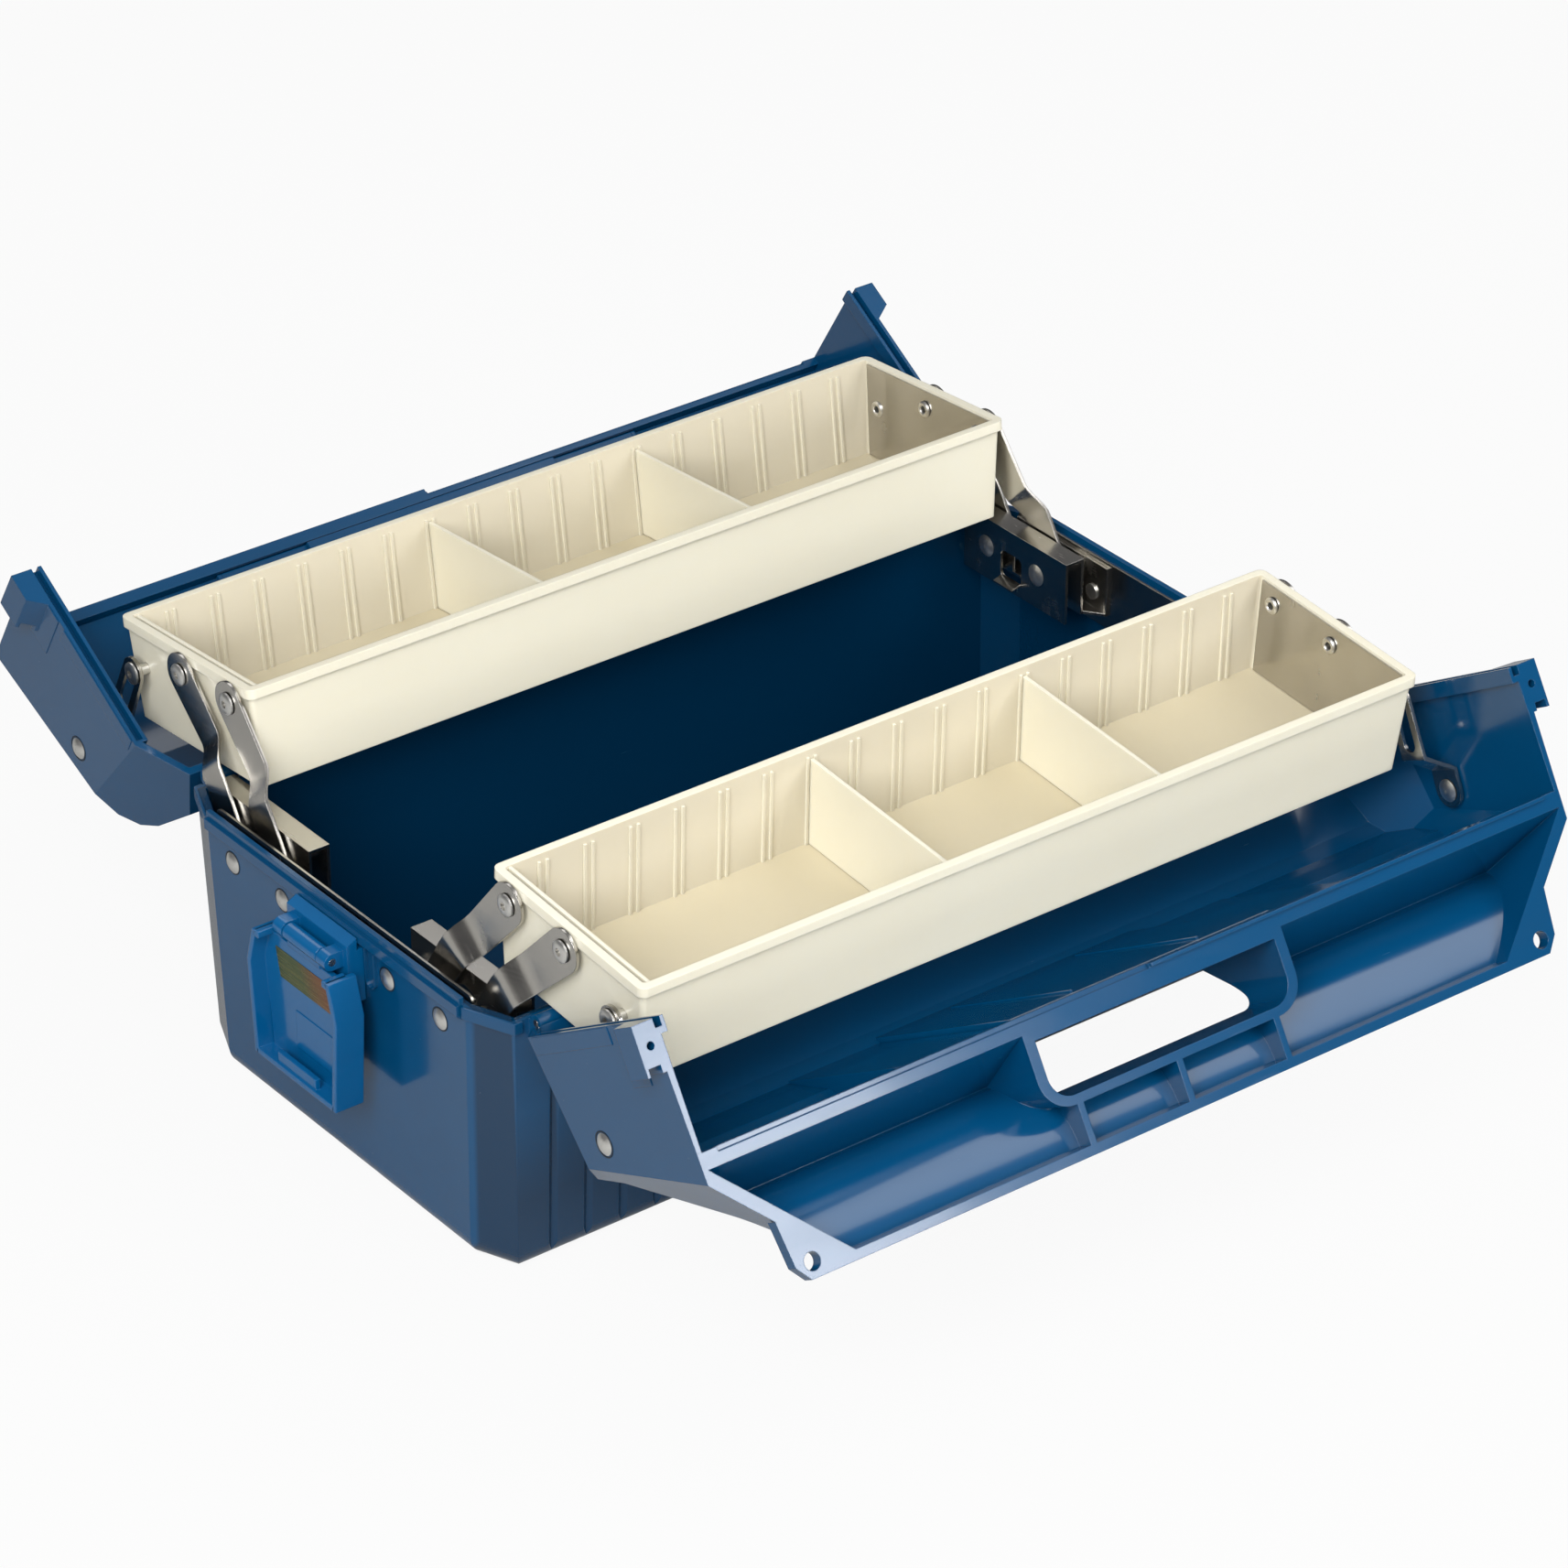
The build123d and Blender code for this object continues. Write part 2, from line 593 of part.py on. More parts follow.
def strip_plane(start, end):
    """Plane along a strap: its X axis runs along the strap and its Y axis along the box."""
    run = (end[0] - start[0], end[1] - start[1])
    return Plane(
        origin=(0, start[0], start[1]), x_dir=(0, run[0], run[1]), z_dir=(0, run[1], -run[0])
    )


def stepped_strip(low, high, sheet, start, run, length):
    """Section of a strip that steps from one layer to another, seen along its edge."""
    slope = sheet * (hypot(run, low - high) - run) / (low - high)
    with BuildSketch(Plane.XY) as strip:
        Polygon(
            (-length, low),
            (start, low),
            (start + run, high),
            (length, high),
            (length, high + sheet),
            (start + run + slope, high + sheet),
            (start + slope, low + sheet),
            (-length, low + sheet),
            align=None,
        )
    return strip.sketch


def swing_arm(pivot, tray_pivot, tray_hole):
    """An arm from its bracket pivot to its tray pivot, at the right end of the back side."""
    elbow = (pivot[0] + ELBOW[0], pivot[1] + ELBOW[1])
    foot = strap(pivot, elbow, ARM_FOOT_RADIUS, ARM_ELBOW_RADIUS)
    blade = strap(elbow, tray_pivot, ARM_ELBOW_RADIUS, ARM_HEAD_RADIUS)
    strip = stepped_strip(ARM_LOW, ARM_HIGH, ARM_SHEET, FOLD_START, FOLD_RUN, 2 * OUTER_ARM)
    with BuildPart() as arm:
        with BuildSketch(Plane.YZ.offset(ARM_HIGH)):
            add(foot)
            add(blade)
            with Locations(pivot):
                Circle(ARM_PIVOT_RADIUS + RUNNING_GAP, mode=Mode.SUBTRACT)
            with Locations(tray_pivot):
                Circle(tray_hole, mode=Mode.SUBTRACT)
        extrude(amount=ARM_LOW + ARM_SHEET - ARM_HIGH)
        extrude(
            strip_plane(elbow, tray_pivot) * strip,
            amount=2 * ARM_HEAD_RADIUS,
            both=True,
            mode=Mode.INTERSECT,
        )
    return arm.part


for arm_name, pivot, tray_pivot, hole_gap in (
    ("outer", OUTER_PIVOT, TRAY_OUTER, RUNNING_GAP),
    ("inner", INNER_PIVOT, TRAY_INNER, INNER_HOLE_GAP),
):
    arm = swing_arm(pivot, tray_pivot, ARM_PIVOT_RADIUS + hole_gap)
    for end_name, end in LEFT_RIGHT:
        for side_name, side in FRONT_BACK:
            save(corner_of(arm, end, side), f"{arm_name}_arm_{end_name}_{side_name}")


def tray_end_x(down):
    """Outer face of a tray's end wall at a depth below the rim."""
    return TRAY_LENGTH / 2 - RIM_BAND_OUT - TRAY_LEAN * down / TRAY_DEPTH


def tray_side_y(down):
    """Outer face of a tray's side wall, from the tray's middle, at a depth below the rim."""
    return TRAY_WIDTH / 2 - RIM_BAND_OUT - TRAY_LEAN * down / TRAY_DEPTH


# A tray, made level with its rim's middle at the origin and then moved to its open place
def tray_place(part):
    """Move a piece made in the level tray to the back tray's open place."""
    middle = in_tray(0, 0)
    return Location((0, middle[0], middle[1]), (-TRAY_TILT, 0, 0)) * part


def walls(inset, down, corner):
    """Outline of the tray's walls at a depth below the rim."""
    with BuildSketch(Plane.XY.offset(-down)) as outline:
        RectangleRounded(
            2 * (tray_end_x(down) - inset), 2 * (tray_side_y(down) - inset), corner
        )
    return outline.sketch


slot_half = DIVIDER_THICK / 2 + DIVIDER_GAP
TRAY_HOLES = (
    (TRAY_PIVOT[0], TRAY_PIVOT[1], ARM_PIVOT_RADIUS),
    (TRAY_PIVOT[0] - TRAY_PIVOT_STEP, TRAY_PIVOT[1], ARM_PIVOT_RADIUS),
    (LINK_HOLE[0], LINK_HOLE[1], LINK_PIN_RADIUS),
)
with BuildPart() as tray_space:
    loft([
        walls(TRAY_WALL, TRAY_DEPTH - TRAY_FLOOR, TRAY_CORNER / 2),
        walls(TRAY_WALL, -TRAY_FLOOR, TRAY_CORNER / 2),
    ])


def slot_rib_row(side):
    """Pairs of slot ribs up one side wall of the level tray, leaning with it."""
    foot = tray_side_y(TRAY_DEPTH) - TRAY_WALL
    with BuildSketch(
        Plane(
            origin=(0, side * foot, TRAY_FLOOR / 2 - TRAY_DEPTH),
            x_dir=(1, 0, 0),
            z_dir=(0, side * TRAY_LEAN, TRAY_DEPTH),
        )
    ) as ribs:
        with GridLocations(SLOT_PITCH, 1, SLOTS, 1):
            with Locations((slot_half + SLOT_RIB / 2, 0), (-slot_half - SLOT_RIB / 2, 0)):
                Rectangle(SLOT_RIB, 2 * SLOT_RIB_OUT)
    return ribs.sketch


with BuildPart() as level_tray:
    loft([walls(0, TRAY_DEPTH, TRAY_CORNER), walls(0, 0, TRAY_CORNER)])
    with BuildSketch(Plane.XY):
        RectangleRounded(TRAY_LENGTH, TRAY_WIDTH, TRAY_CORNER + RIM_BAND_OUT)
    extrude(amount=-RIM_BAND_HEIGHT)
    add(tray_space.part, mode=Mode.SUBTRACT)
    for side in (-1, 1):
        extrude(slot_rib_row(side), amount=TRAY_DEPTH - DIVIDER_TOP)
    with BuildSketch(Plane.YZ.offset(-TRAY_LENGTH)):
        for across, down, radius in TRAY_HOLES:
            with Locations((across, -down)):
                Circle(radius + PRESS_GAP)
    extrude(amount=2 * TRAY_LENGTH, mode=Mode.SUBTRACT)

tray = tray_place(level_tray.part)
for side_name, side in FRONT_BACK:
    save(corner_of(tray, 1, side), f"tray_{side_name}")

# Steel plates inside the tray's ends, leaning with the end walls
with BuildPart() as level_tray_plate:
    plate_foot = TRAY_DEPTH - TRAY_FLOOR - SEAT_GAP
    foot_half = tray_side_y(plate_foot) - TRAY_WALL - TRAY_CORNER
    top_half = tray_side_y(PLATE_TOP) - TRAY_WALL - TRAY_CORNER
    with BuildSketch(
        Plane(
            origin=(tray_end_x(plate_foot) - TRAY_WALL - PRESS_GAP, 0, -plate_foot),
            x_dir=(0, 1, 0),
            z_dir=(TRAY_DEPTH, 0, -TRAY_LEAN),
        )
    ):
        Polygon(
            (foot_half, 0),
            (top_half, plate_foot - PLATE_TOP),
            (-top_half, plate_foot - PLATE_TOP),
            (-foot_half, 0),
            align=None,
        )
    extrude(amount=-TRAY_PLATE)
    with BuildSketch(Plane.YZ):
        for across, down, radius in TRAY_HOLES:
            with Locations((across, -down)):
                Circle(radius + PRESS_GAP)
    extrude(amount=TRAY_LENGTH, mode=Mode.SUBTRACT)

tray_plate = tray_place(level_tray_plate.part)
for end_name, end in LEFT_RIGHT:
    for side_name, side in FRONT_BACK:
        save(corner_of(tray_plate, end, side), f"tray_end_plate_{end_name}_{side_name}")


def tray_rivet(place, down, radius, layer, sheet):
    """A rivet from a tray's end plate to the arm or link that turns on it."""
    wall = tray_end_x(down)
    plate = wall - TRAY_WALL - TRAY_PLATE - 2 * PRESS_GAP
    clear = TRAY_LEAN / TRAY_DEPTH * COLLAR_RADIUS
    head = layer + sheet + ARM_SIDE_GAP
    return rivet(
        place[0],
        place[1],
        [
            (plate - clear - EYELET_HEIGHT, plate - clear, EYELET_RADIUS),
            (plate - clear, head, radius),
            (wall + clear, layer - ARM_SIDE_GAP, COLLAR_RADIUS),
        ],
        [(head, head + PIVOT_HEAD_HEIGHT, PIVOT_HEAD)],
    )


tray_rivet_set = [
    tray_rivet(TRAY_OUTER, TRAY_PIVOT[1], ARM_PIVOT_RADIUS, ARM_HIGH, ARM_SHEET),
    tray_rivet(TRAY_INNER, TRAY_PIVOT[1], ARM_PIVOT_RADIUS, ARM_HIGH, ARM_SHEET),
    tray_rivet(TRAY_LINK, LINK_HOLE[1], LINK_PIN_RADIUS, LINK_HIGH, ARM_SHEET),
]
for side_name, side in FRONT_BACK:
    with BuildPart() as tray_rivets:
        add([corner_of(piece, 1, side) for piece in tray_rivet_set])
        mirror(about=Plane.YZ)
    save(tray_rivets.part, f"tray_rivets_{side_name}")

# Dividers that drop into the slots
for slot_name, slot in zip(("left", "right"), DIVIDER_SLOTS):
    with BuildPart() as level_divider:
        with BuildSketch(Plane.YZ.offset(slot * SLOT_PITCH - DIVIDER_THICK / 2)):
            divider_foot = TRAY_DEPTH - TRAY_FLOOR - SEAT_GAP
            foot_half = tray_side_y(divider_foot) - TRAY_WALL - DIVIDER_GAP
            top_half = tray_side_y(DIVIDER_TOP) - TRAY_WALL - DIVIDER_GAP
            Polygon(
                (-foot_half, -divider_foot),
                (foot_half, -divider_foot),
                (top_half, -DIVIDER_TOP),
                (-top_half, -DIVIDER_TOP),
                align=None,
            )
        extrude(amount=DIVIDER_THICK)
    divider = tray_place(level_divider.part)
    for side_name, side in FRONT_BACK:
        save(corner_of(divider, 1, side), f"divider_{side_name}_{slot_name}")

# Slotted link from the lid to the tray, placed on the open lid
LINK_CLOSED = (LINK_PIVOT[0], LID_BASE + LINK_PIVOT[1])
LINK_OPEN = turned(LINK_CLOSED, HINGE, -LID_SWING)
link_angle = degrees(atan2(TRAY_LINK[1] - LINK_OPEN[1], TRAY_LINK[0] - LINK_OPEN[0])) + LINK_TRIM
link_end = (LINK_OPEN[0] + cos(radians(link_angle)), LINK_OPEN[1] + sin(radians(link_angle)))
link_strip = stepped_strip(
    LINK_LOW, LINK_HIGH, ARM_SHEET, LINK_FOLD, LINK_FOLD_RUN, 2 * LINK_SLOT[1]
)
link_outline = strap((0, 0), (LINK_SLOT[1], 0), LINK_RADIUS, LINK_END_RADIUS)
link_plane = Plane(
    origin=(LINK_HIGH, LINK_OPEN[0], LINK_OPEN[1]),
    x_dir=(0, link_end[0] - LINK_OPEN[0], link_end[1] - LINK_OPEN[1]),
    z_dir=(1, 0, 0),
)
with BuildPart() as link:
    with BuildSketch(link_plane):
        add(link_outline)
        Circle(LID_RIVET_RADIUS + RUNNING_GAP, mode=Mode.SUBTRACT)
        with Locations(((LINK_SLOT[0] + LINK_SLOT[1]) / 2, 0)):
            SlotCenterToCenter(
                LINK_SLOT[1] - LINK_SLOT[0], 2 * LINK_SLOT_RADIUS, mode=Mode.SUBTRACT
            )
    extrude(amount=LINK_LOW + ARM_SHEET - LINK_HIGH)
    extrude(
        strip_plane(LINK_OPEN, link_end) * link_strip,
        amount=2 * LINK_RADIUS,
        both=True,
        mode=Mode.INTERSECT,
    )
for end_name, end in LEFT_RIGHT:
    for side_name, side in FRONT_BACK:
        save(corner_of(link.part, end, side), f"lid_link_{end_name}_{side_name}")


def lid_end_x(height):
    """Outer face of the closed lid's end wall at a height."""
    return LID_END - LID_END_LEAN * (height - LID_BASE) / HIP_RISE


def section_point(offsets):
    """A point of the closed lid's section given from the foot of its side wall."""
    return (LID_SIDE + offsets[0], LID_BASE + offsets[1])


def trim_lid_ends(inset):
    """Cut both ends of a lid solid to the lid's cut corners and hips, set in by a distance."""
    corner = (lid_end_x(LID_BASE), FACET_EDGE, LID_BASE)
    along_foot = Vector(-FACET_FOOT_X, FACET_FOOT_Y, 0)
    up_edge = Vector(-FACET_LEAN_X, -FACET_LEAN_IN, FACET_LEAN_UP)
    facet = Plane(origin=corner, z_dir=along_foot.cross(up_edge)).offset(-inset)
    hip_foot = (lid_end_x(LID_BASE + HIP_RISE), 0, LID_BASE + HIP_RISE)
    hip = Plane(origin=hip_foot, z_dir=(1, HIP_FALL, 1)).offset(-inset)
    for plane in (facet, hip):
        split(bisect_by=plane, keep=Keep.BOTTOM)
        split(bisect_by=mirrored_plane(plane), keep=Keep.BOTTOM)


def mirrored_plane(plane):
    """The same plane at the left end."""
    origin, normal = plane.origin, plane.z_dir
    return Plane(origin=(-origin.X, origin.Y, origin.Z), z_dir=(-normal.X, normal.Y, normal.Z))


def floor_height(across):
    """Top of the handle hollow's floor at a distance from the middle plane."""
    return LID_BASE + FLOOR_RISE + FLOOR_SLOPE * across


def sill_height(across):
    """Lower face of the hand hole at a distance from the middle plane."""
    return LID_BASE + WINDOW_SILL + SILL_SLOPE * across


# Where the roof's straight part runs into the hollow curve
ridge_foot = (RIDGE_FOOT[0], LID_BASE + RIDGE_FOOT[1])
to_centre = (SKIN_CENTRE[0] - ridge_foot[0], SKIN_CENTRE[1] - ridge_foot[1])
ridge_reach = hypot(*to_centre)
tangent_length = sqrt(ridge_reach**2 - SKIN_RADIUS**2)
tangent_angle = atan2(to_centre[1], to_centre[0]) + atan2(SKIN_RADIUS, tangent_length)
SKIN_START = (
    ridge_foot[0] + tangent_length * cos(tangent_angle),
    ridge_foot[1] + tangent_length * sin(tangent_angle),
)
start_angle = degrees(
    atan2(SKIN_START[1] - SKIN_CENTRE[1], SKIN_START[0] - SKIN_CENTRE[0])
) % 360


def on_skin(angle):
    """A point of the hollow curve at an angle round its centre."""
    return (
        SKIN_CENTRE[0] + SKIN_RADIUS * cos(radians(angle)),
        SKIN_CENTRE[1] + SKIN_RADIUS * sin(radians(angle)),
    )


side_points = [
    (LID_SIDE, LID_BASE),
    section_point(BULGE),
    section_point(SHOULDER_FOOT),
    section_point(SHOULDER_TOP),
    (ROOF_BREAK[0], LID_BASE + ROOF_BREAK[1]),
]
roof_line_end = (
    ridge_foot[0] + 2 * tangent_length * cos(tangent_angle),
    ridge_foot[1] + 2 * tangent_length * sin(tangent_angle),
)

# The room under the closed lid, which the tray swings into
with BuildPart() as lid_space:
    with BuildSketch(Plane.YZ.offset(-LID_END_INNER)):
        Polygon(
            (roof_line_end[0] - LID_SIDE, LID_BASE - 2 * LID_WALL),
            (LID_SIDE, LID_BASE - 2 * LID_WALL),
            *side_points,
            roof_line_end,
            (roof_line_end[0] - LID_SIDE, roof_line_end[1]),
            align=None,
        )
        offset(amount=-LID_WALL)
        strip_face = MEETING_GAP + STRIP_THICK
        Polygon(
            (-LID_SIDE, LID_BASE + STRIP_RISE),
            (strip_face, LID_BASE + STRIP_RISE),
            (strip_face, floor_height(strip_face) - LID_WALL * hypot(1, FLOOR_SLOPE)),
            (LID_SIDE, floor_height(LID_SIDE) - LID_WALL * hypot(1, FLOOR_SLOPE)),
            (LID_SIDE, 2 * LID_TOP),
            (-LID_SIDE, 2 * LID_TOP),
            align=None,
            mode=Mode.SUBTRACT,
        )
    extrude(amount=2 * LID_END_INNER)
    trim_lid_ends(LID_WALL)
    # The hand hole's floor and end walls stay solid
    with BuildSketch(Plane.YZ.offset(-WINDOW_HALF - FRAME_WALL)):
        Polygon(
            (-LID_SIDE, sill_height(-LID_SIDE) - LID_WALL),
            (LID_SIDE, sill_height(LID_SIDE) - LID_WALL),
            (LID_SIDE, 2 * LID_TOP),
            (-LID_SIDE, 2 * LID_TOP),
            align=None,
        )
    extrude(amount=2 * (WINDOW_HALF + FRAME_WALL), mode=Mode.SUBTRACT)

# The hollows to each side of the hand hole, open at the meeting face
with BuildPart() as grip_hollows:
    with BuildSketch(Plane.YZ.offset(-RIM_X)):
        Polygon(
            (-LID_WALL, floor_height(-LID_WALL)),
            (SKIN_CENTRE[0], floor_height(SKIN_CENTRE[0])),
            (SKIN_CENTRE[0], POCKET_TOP),
            (-LID_WALL, POCKET_TOP),
            align=None,
        )
        with Locations(SKIN_CENTRE):
            Circle(POCKET_RADIUS, mode=Mode.SUBTRACT)
    extrude(amount=2 * RIM_X)
    pocket_end = Plane(origin=(POCKET_END, 0, LID_BASE), z_dir=(1, 0, 1))
    split(bisect_by=pocket_end, keep=Keep.BOTTOM)
    split(bisect_by=mirrored_plane(pocket_end), keep=Keep.BOTTOM)
    with BuildSketch(Plane.XZ):
        with Locations((0, LID_BASE + WINDOW_HEAD + FRAME_HEAD)):
            frame = Rectangle(
                2 * (WINDOW_HALF + FRAME_WALL), WINDOW_HEAD, align=(Align.CENTER, Align.MAX)
            )
        fillet(frame.vertices().group_by(Axis.Y)[-1], WINDOW_RADIUS + FRAME_HEAD)
        for rib_x in (-RIB_STEP, 0, RIB_STEP):
            with Locations((rib_x, LID_BASE + WINDOW_HEAD)):
                Rectangle(RIB_THICK, LID_RISE, align=(Align.CENTER, Align.MIN))
    extrude(amount=LID_SIDE, both=True, mode=Mode.SUBTRACT)

# The hand hole
with BuildPart() as hand_hole:
    with BuildSketch(Plane.XZ):
        with Locations((0, LID_BASE + WINDOW_HEAD)):
            hole = Rectangle(2 * WINDOW_HALF, WINDOW_HEAD, align=(Align.CENTER, Align.MAX))
        fillet(hole.vertices().group_by(Axis.Y)[-1], WINDOW_RADIUS)
    extrude(amount=LID_SIDE, both=True)
    with BuildSketch(Plane.YZ.offset(-WINDOW_HALF)):
        Polygon(
            (-LID_WALL, sill_height(-LID_WALL)),
            (WINDOW_REACH, sill_height(WINDOW_REACH)),
            (WINDOW_REACH, LID_BASE + WINDOW_HEAD),
            (-LID_WALL, LID_BASE + WINDOW_HEAD),
            align=None,
        )
    extrude(amount=2 * WINDOW_HALF, mode=Mode.INTERSECT)
    with BuildSketch(Plane.XZ.offset(-SCALLOP_START)):
        with Locations((0, sill_height(WINDOW_REACH) + SCALLOP_RADIUS - SCALLOP_DEPTH)):
            with GridLocations(SCALLOP_PITCH, 1, SCALLOPS, 1):
                Circle(SCALLOP_RADIUS)
    extrude(amount=SCALLOP_START - WINDOW_REACH)

# The lid, closed, on the back side
with BuildPart() as closed_lid:
    with BuildSketch(Plane.YZ.offset(-LID_END)):
        with BuildLine():
            Polyline(
                (GRIP_HALF, LID_TOP),
                (MEETING_GAP, LID_TOP),
                (MEETING_GAP, LID_BASE),
                *side_points,
                ridge_foot,
                SKIN_START,
            )
            ThreePointArc(SKIN_START, on_skin((start_angle + 180) / 2), on_skin(180))
        make_face()
    extrude(amount=2 * LID_END)
    end_lean = Plane(origin=(LID_END, 0, LID_BASE), z_dir=(HIP_RISE, 0, LID_END_LEAN))
    split(bisect_by=end_lean, keep=Keep.BOTTOM)
    split(bisect_by=mirrored_plane(end_lean), keep=Keep.BOTTOM)
    trim_lid_ends(0)
    for foot, top in ((side_points[0], side_points[1]), (side_points[1], side_points[2])):
        extrude(flute_grooves(foot, top), amount=rise_between(foot, top), mode=Mode.SUBTRACT)
    add(lid_space.part, mode=Mode.SUBTRACT)
    add(grip_hollows.part, mode=Mode.SUBTRACT)
    add(hand_hole.part, mode=Mode.SUBTRACT)
    # Padlock ears
    with BuildSketch(Plane.XZ.offset(-MEETING_GAP)):
        Polygon(
            (EAR_BASE, LID_BASE + EAR_SIDE[1]),
            (EAR_WIDE, LID_BASE + EAR_FOOT),
            (EAR_SIDE[0], LID_BASE + EAR_SIDE[1]),
            (EAR_CORNER, LID_TOP),
            (EAR_BASE, LID_TOP),
            align=None,
        )
        mirror(about=Plane.YZ)
    extrude(amount=-EAR_THICK)
    with Locations((EAR_HOLE[0], 0, LID_BASE + EAR_HOLE[1])):
        Cylinder(EAR_HOLE_RADIUS, LID_SIDE, rotation=(90, 0, 0), mode=Mode.SUBTRACT)
    with Locations((-EAR_HOLE[0], 0, LID_BASE + EAR_HOLE[1])):
        Cylinder(EAR_HOLE_RADIUS, LID_SIDE, rotation=(90, 0, 0), mode=Mode.SUBTRACT)
    # Channel over the body's rim tongue
    channel_in = TONGUE_FACE - TONGUE_THICK - CHANNEL_GAP
    channel_out = TONGUE_FACE + CHANNEL_GAP
    with BuildSketch(Plane.XZ.offset(-MEETING_GAP)):
        with Locations((channel_in - CHANNEL_WALL, LID_BASE)):
            Rectangle(
                LID_END_INNER + CHANNEL_WALL - channel_in + CHANNEL_WALL,
                CHANNEL_RISE,
                align=(Align.MIN, Align.MIN),
            )
        mirror(about=Plane.YZ)
    extrude(amount=MEETING_GAP - CHANNEL_SPAN)
    with BuildSketch(Plane.XZ):
        with Locations((channel_in, LID_BASE)):
            Rectangle(
                channel_out - channel_in,
                TONGUE_HEIGHT + 2 * CHANNEL_GAP - SEAT_GAP,
                align=(Align.MIN, Align.MIN),
            )
        mirror(about=Plane.YZ)
    extrude(amount=-(RIM_SPAN + 2 * CHANNEL_GAP), mode=Mode.SUBTRACT)
    # Boss and hook for the latch
    with BuildSketch(Plane.XY.offset(LID_BASE)):
        Polygon(
            (LID_END_INNER + CHANNEL_WALL, MEETING_GAP),
            (LID_END + BOSS_OUT, MEETING_GAP),
            (LID_END + BOSS_OUT, BOSS_HALF),
            (LID_END, BOSS_FOOT),
            (LID_END_INNER + CHANNEL_WALL, BOSS_FOOT),
            align=None,
        )
        mirror(about=Plane.YZ)
    extrude(amount=BOSS_RISE)
    with BuildSketch(Plane.XZ):
        with Locations((LID_END + BOSS_OUT - HOOK_LIP, LID_BASE + BOSS_RISE)):
            Rectangle(HOOK_WIDTH, 2 * HOOK_DEPTH, align=(Align.MAX, Align.CENTER))
        with Locations((LID_END + DOWEL_HOLE[0], LID_BASE + DOWEL_HOLE[1])):
            Circle(DOWEL_RADIUS)
        mirror(about=Plane.YZ)
    extrude(amount=-DOWEL_DEPTH, mode=Mode.SUBTRACT)
    with BuildSketch(Plane.XZ):
        with Locations((LID_END + BOSS_OUT - HOOK_LIP, LID_BASE + BOSS_RISE)):
            Rectangle(HOOK_WIDTH, 2 * HOOK_DEPTH, align=(Align.MAX, Align.CENTER))
        mirror(about=Plane.YZ)
    extrude(amount=-BOSS_FOOT, mode=Mode.SUBTRACT)
    # Lip on one half of the meeting face, and the rebate that takes the other lid's lip
    lip_foot = LID_BASE + STRIP_RISE
    with BuildSketch(Plane.XZ.offset(-MEETING_GAP)):
        with Locations((-LIP_GAP, lip_foot)):
            Rectangle(LIP_LENGTH, LIP_HEIGHT, align=(Align.MAX, Align.MIN))
    extrude(amount=LIP_OUT)
    with BuildSketch(Plane.XZ.offset(-MEETING_GAP)):
        with Locations((0, lip_foot)):
            Rectangle(LIP_LENGTH + 2 * LIP_GAP, LIP_HEIGHT + LIP_GAP, align=(Align.MIN, Align.MIN))
    extrude(amount=-(LIP_OUT - 2 * MEETING_GAP + LIP_GAP), mode=Mode.SUBTRACT)
    # Hinge knuckles
    for knuckle_x in knuckle_centres(1):
        with BuildSketch(Plane.YZ.offset(knuckle_x)):
            with Locations(HINGE):
                Circle(KNUCKLE_RADIUS)
            Polygon(
                (LID_SIDE - LID_WALL / 2, LID_BASE),
                (HINGE[0], LID_BASE),
                (HINGE[0] + KNUCKLE_RADIUS * sqrt(0.5), HINGE[1] + KNUCKLE_RADIUS * sqrt(0.5)),
                (LID_SIDE - LID_WALL / 2, LID_BASE + 3 * KNUCKLE_RADIUS),
                align=None,
            )
        extrude(amount=KNUCKLE_HALF, both=True)
    with Locations((0, HINGE[0], HINGE[1])):
        Cylinder(
            HINGE_PIN_RADIUS + RUNNING_GAP, HINGE_LENGTH, rotation=(0, 90, 0), mode=Mode.SUBTRACT
        )
    with Locations((0, *LINK_CLOSED)):
        Cylinder(
            LID_RIVET_RADIUS + PRESS_GAP, 2 * LID_END, rotation=(0, 90, 0), mode=Mode.SUBTRACT
        )

hinge_axis = Axis((0, HINGE[0], HINGE[1]), (1, 0, 0))
lid_back = closed_lid.part.rotate(hinge_axis, -LID_SWING)
save(lid_back.rotate(Axis.Z, 180), "lid_front")
save(lid_back, "lid_back")

# Rivets of the links in the lids' end walls
link_face = LINK_LOW - ARM_SIDE_GAP
lid_wall_face = lid_end_x(LINK_CLOSED[1]) + 2 * PRESS_GAP
link_rivet = rivet(
    LINK_OPEN[0],
    LINK_OPEN[1],
    [(link_face, lid_wall_face, LID_RIVET_RADIUS)],
    [
        (link_face, link_face - PIVOT_HEAD_HEIGHT, PIVOT_HEAD),
        (lid_wall_face, lid_wall_face + RIVET_HEAD_HEIGHT, RIVET_HEAD),
    ],
)
for side_name, side in FRONT_BACK:
    with BuildPart() as lid_rivets:
        add(corner_of(link_rivet, 1, side))
        mirror(about=Plane.YZ)
    save(lid_rivets.part, f"lid_rivets_{side_name}")

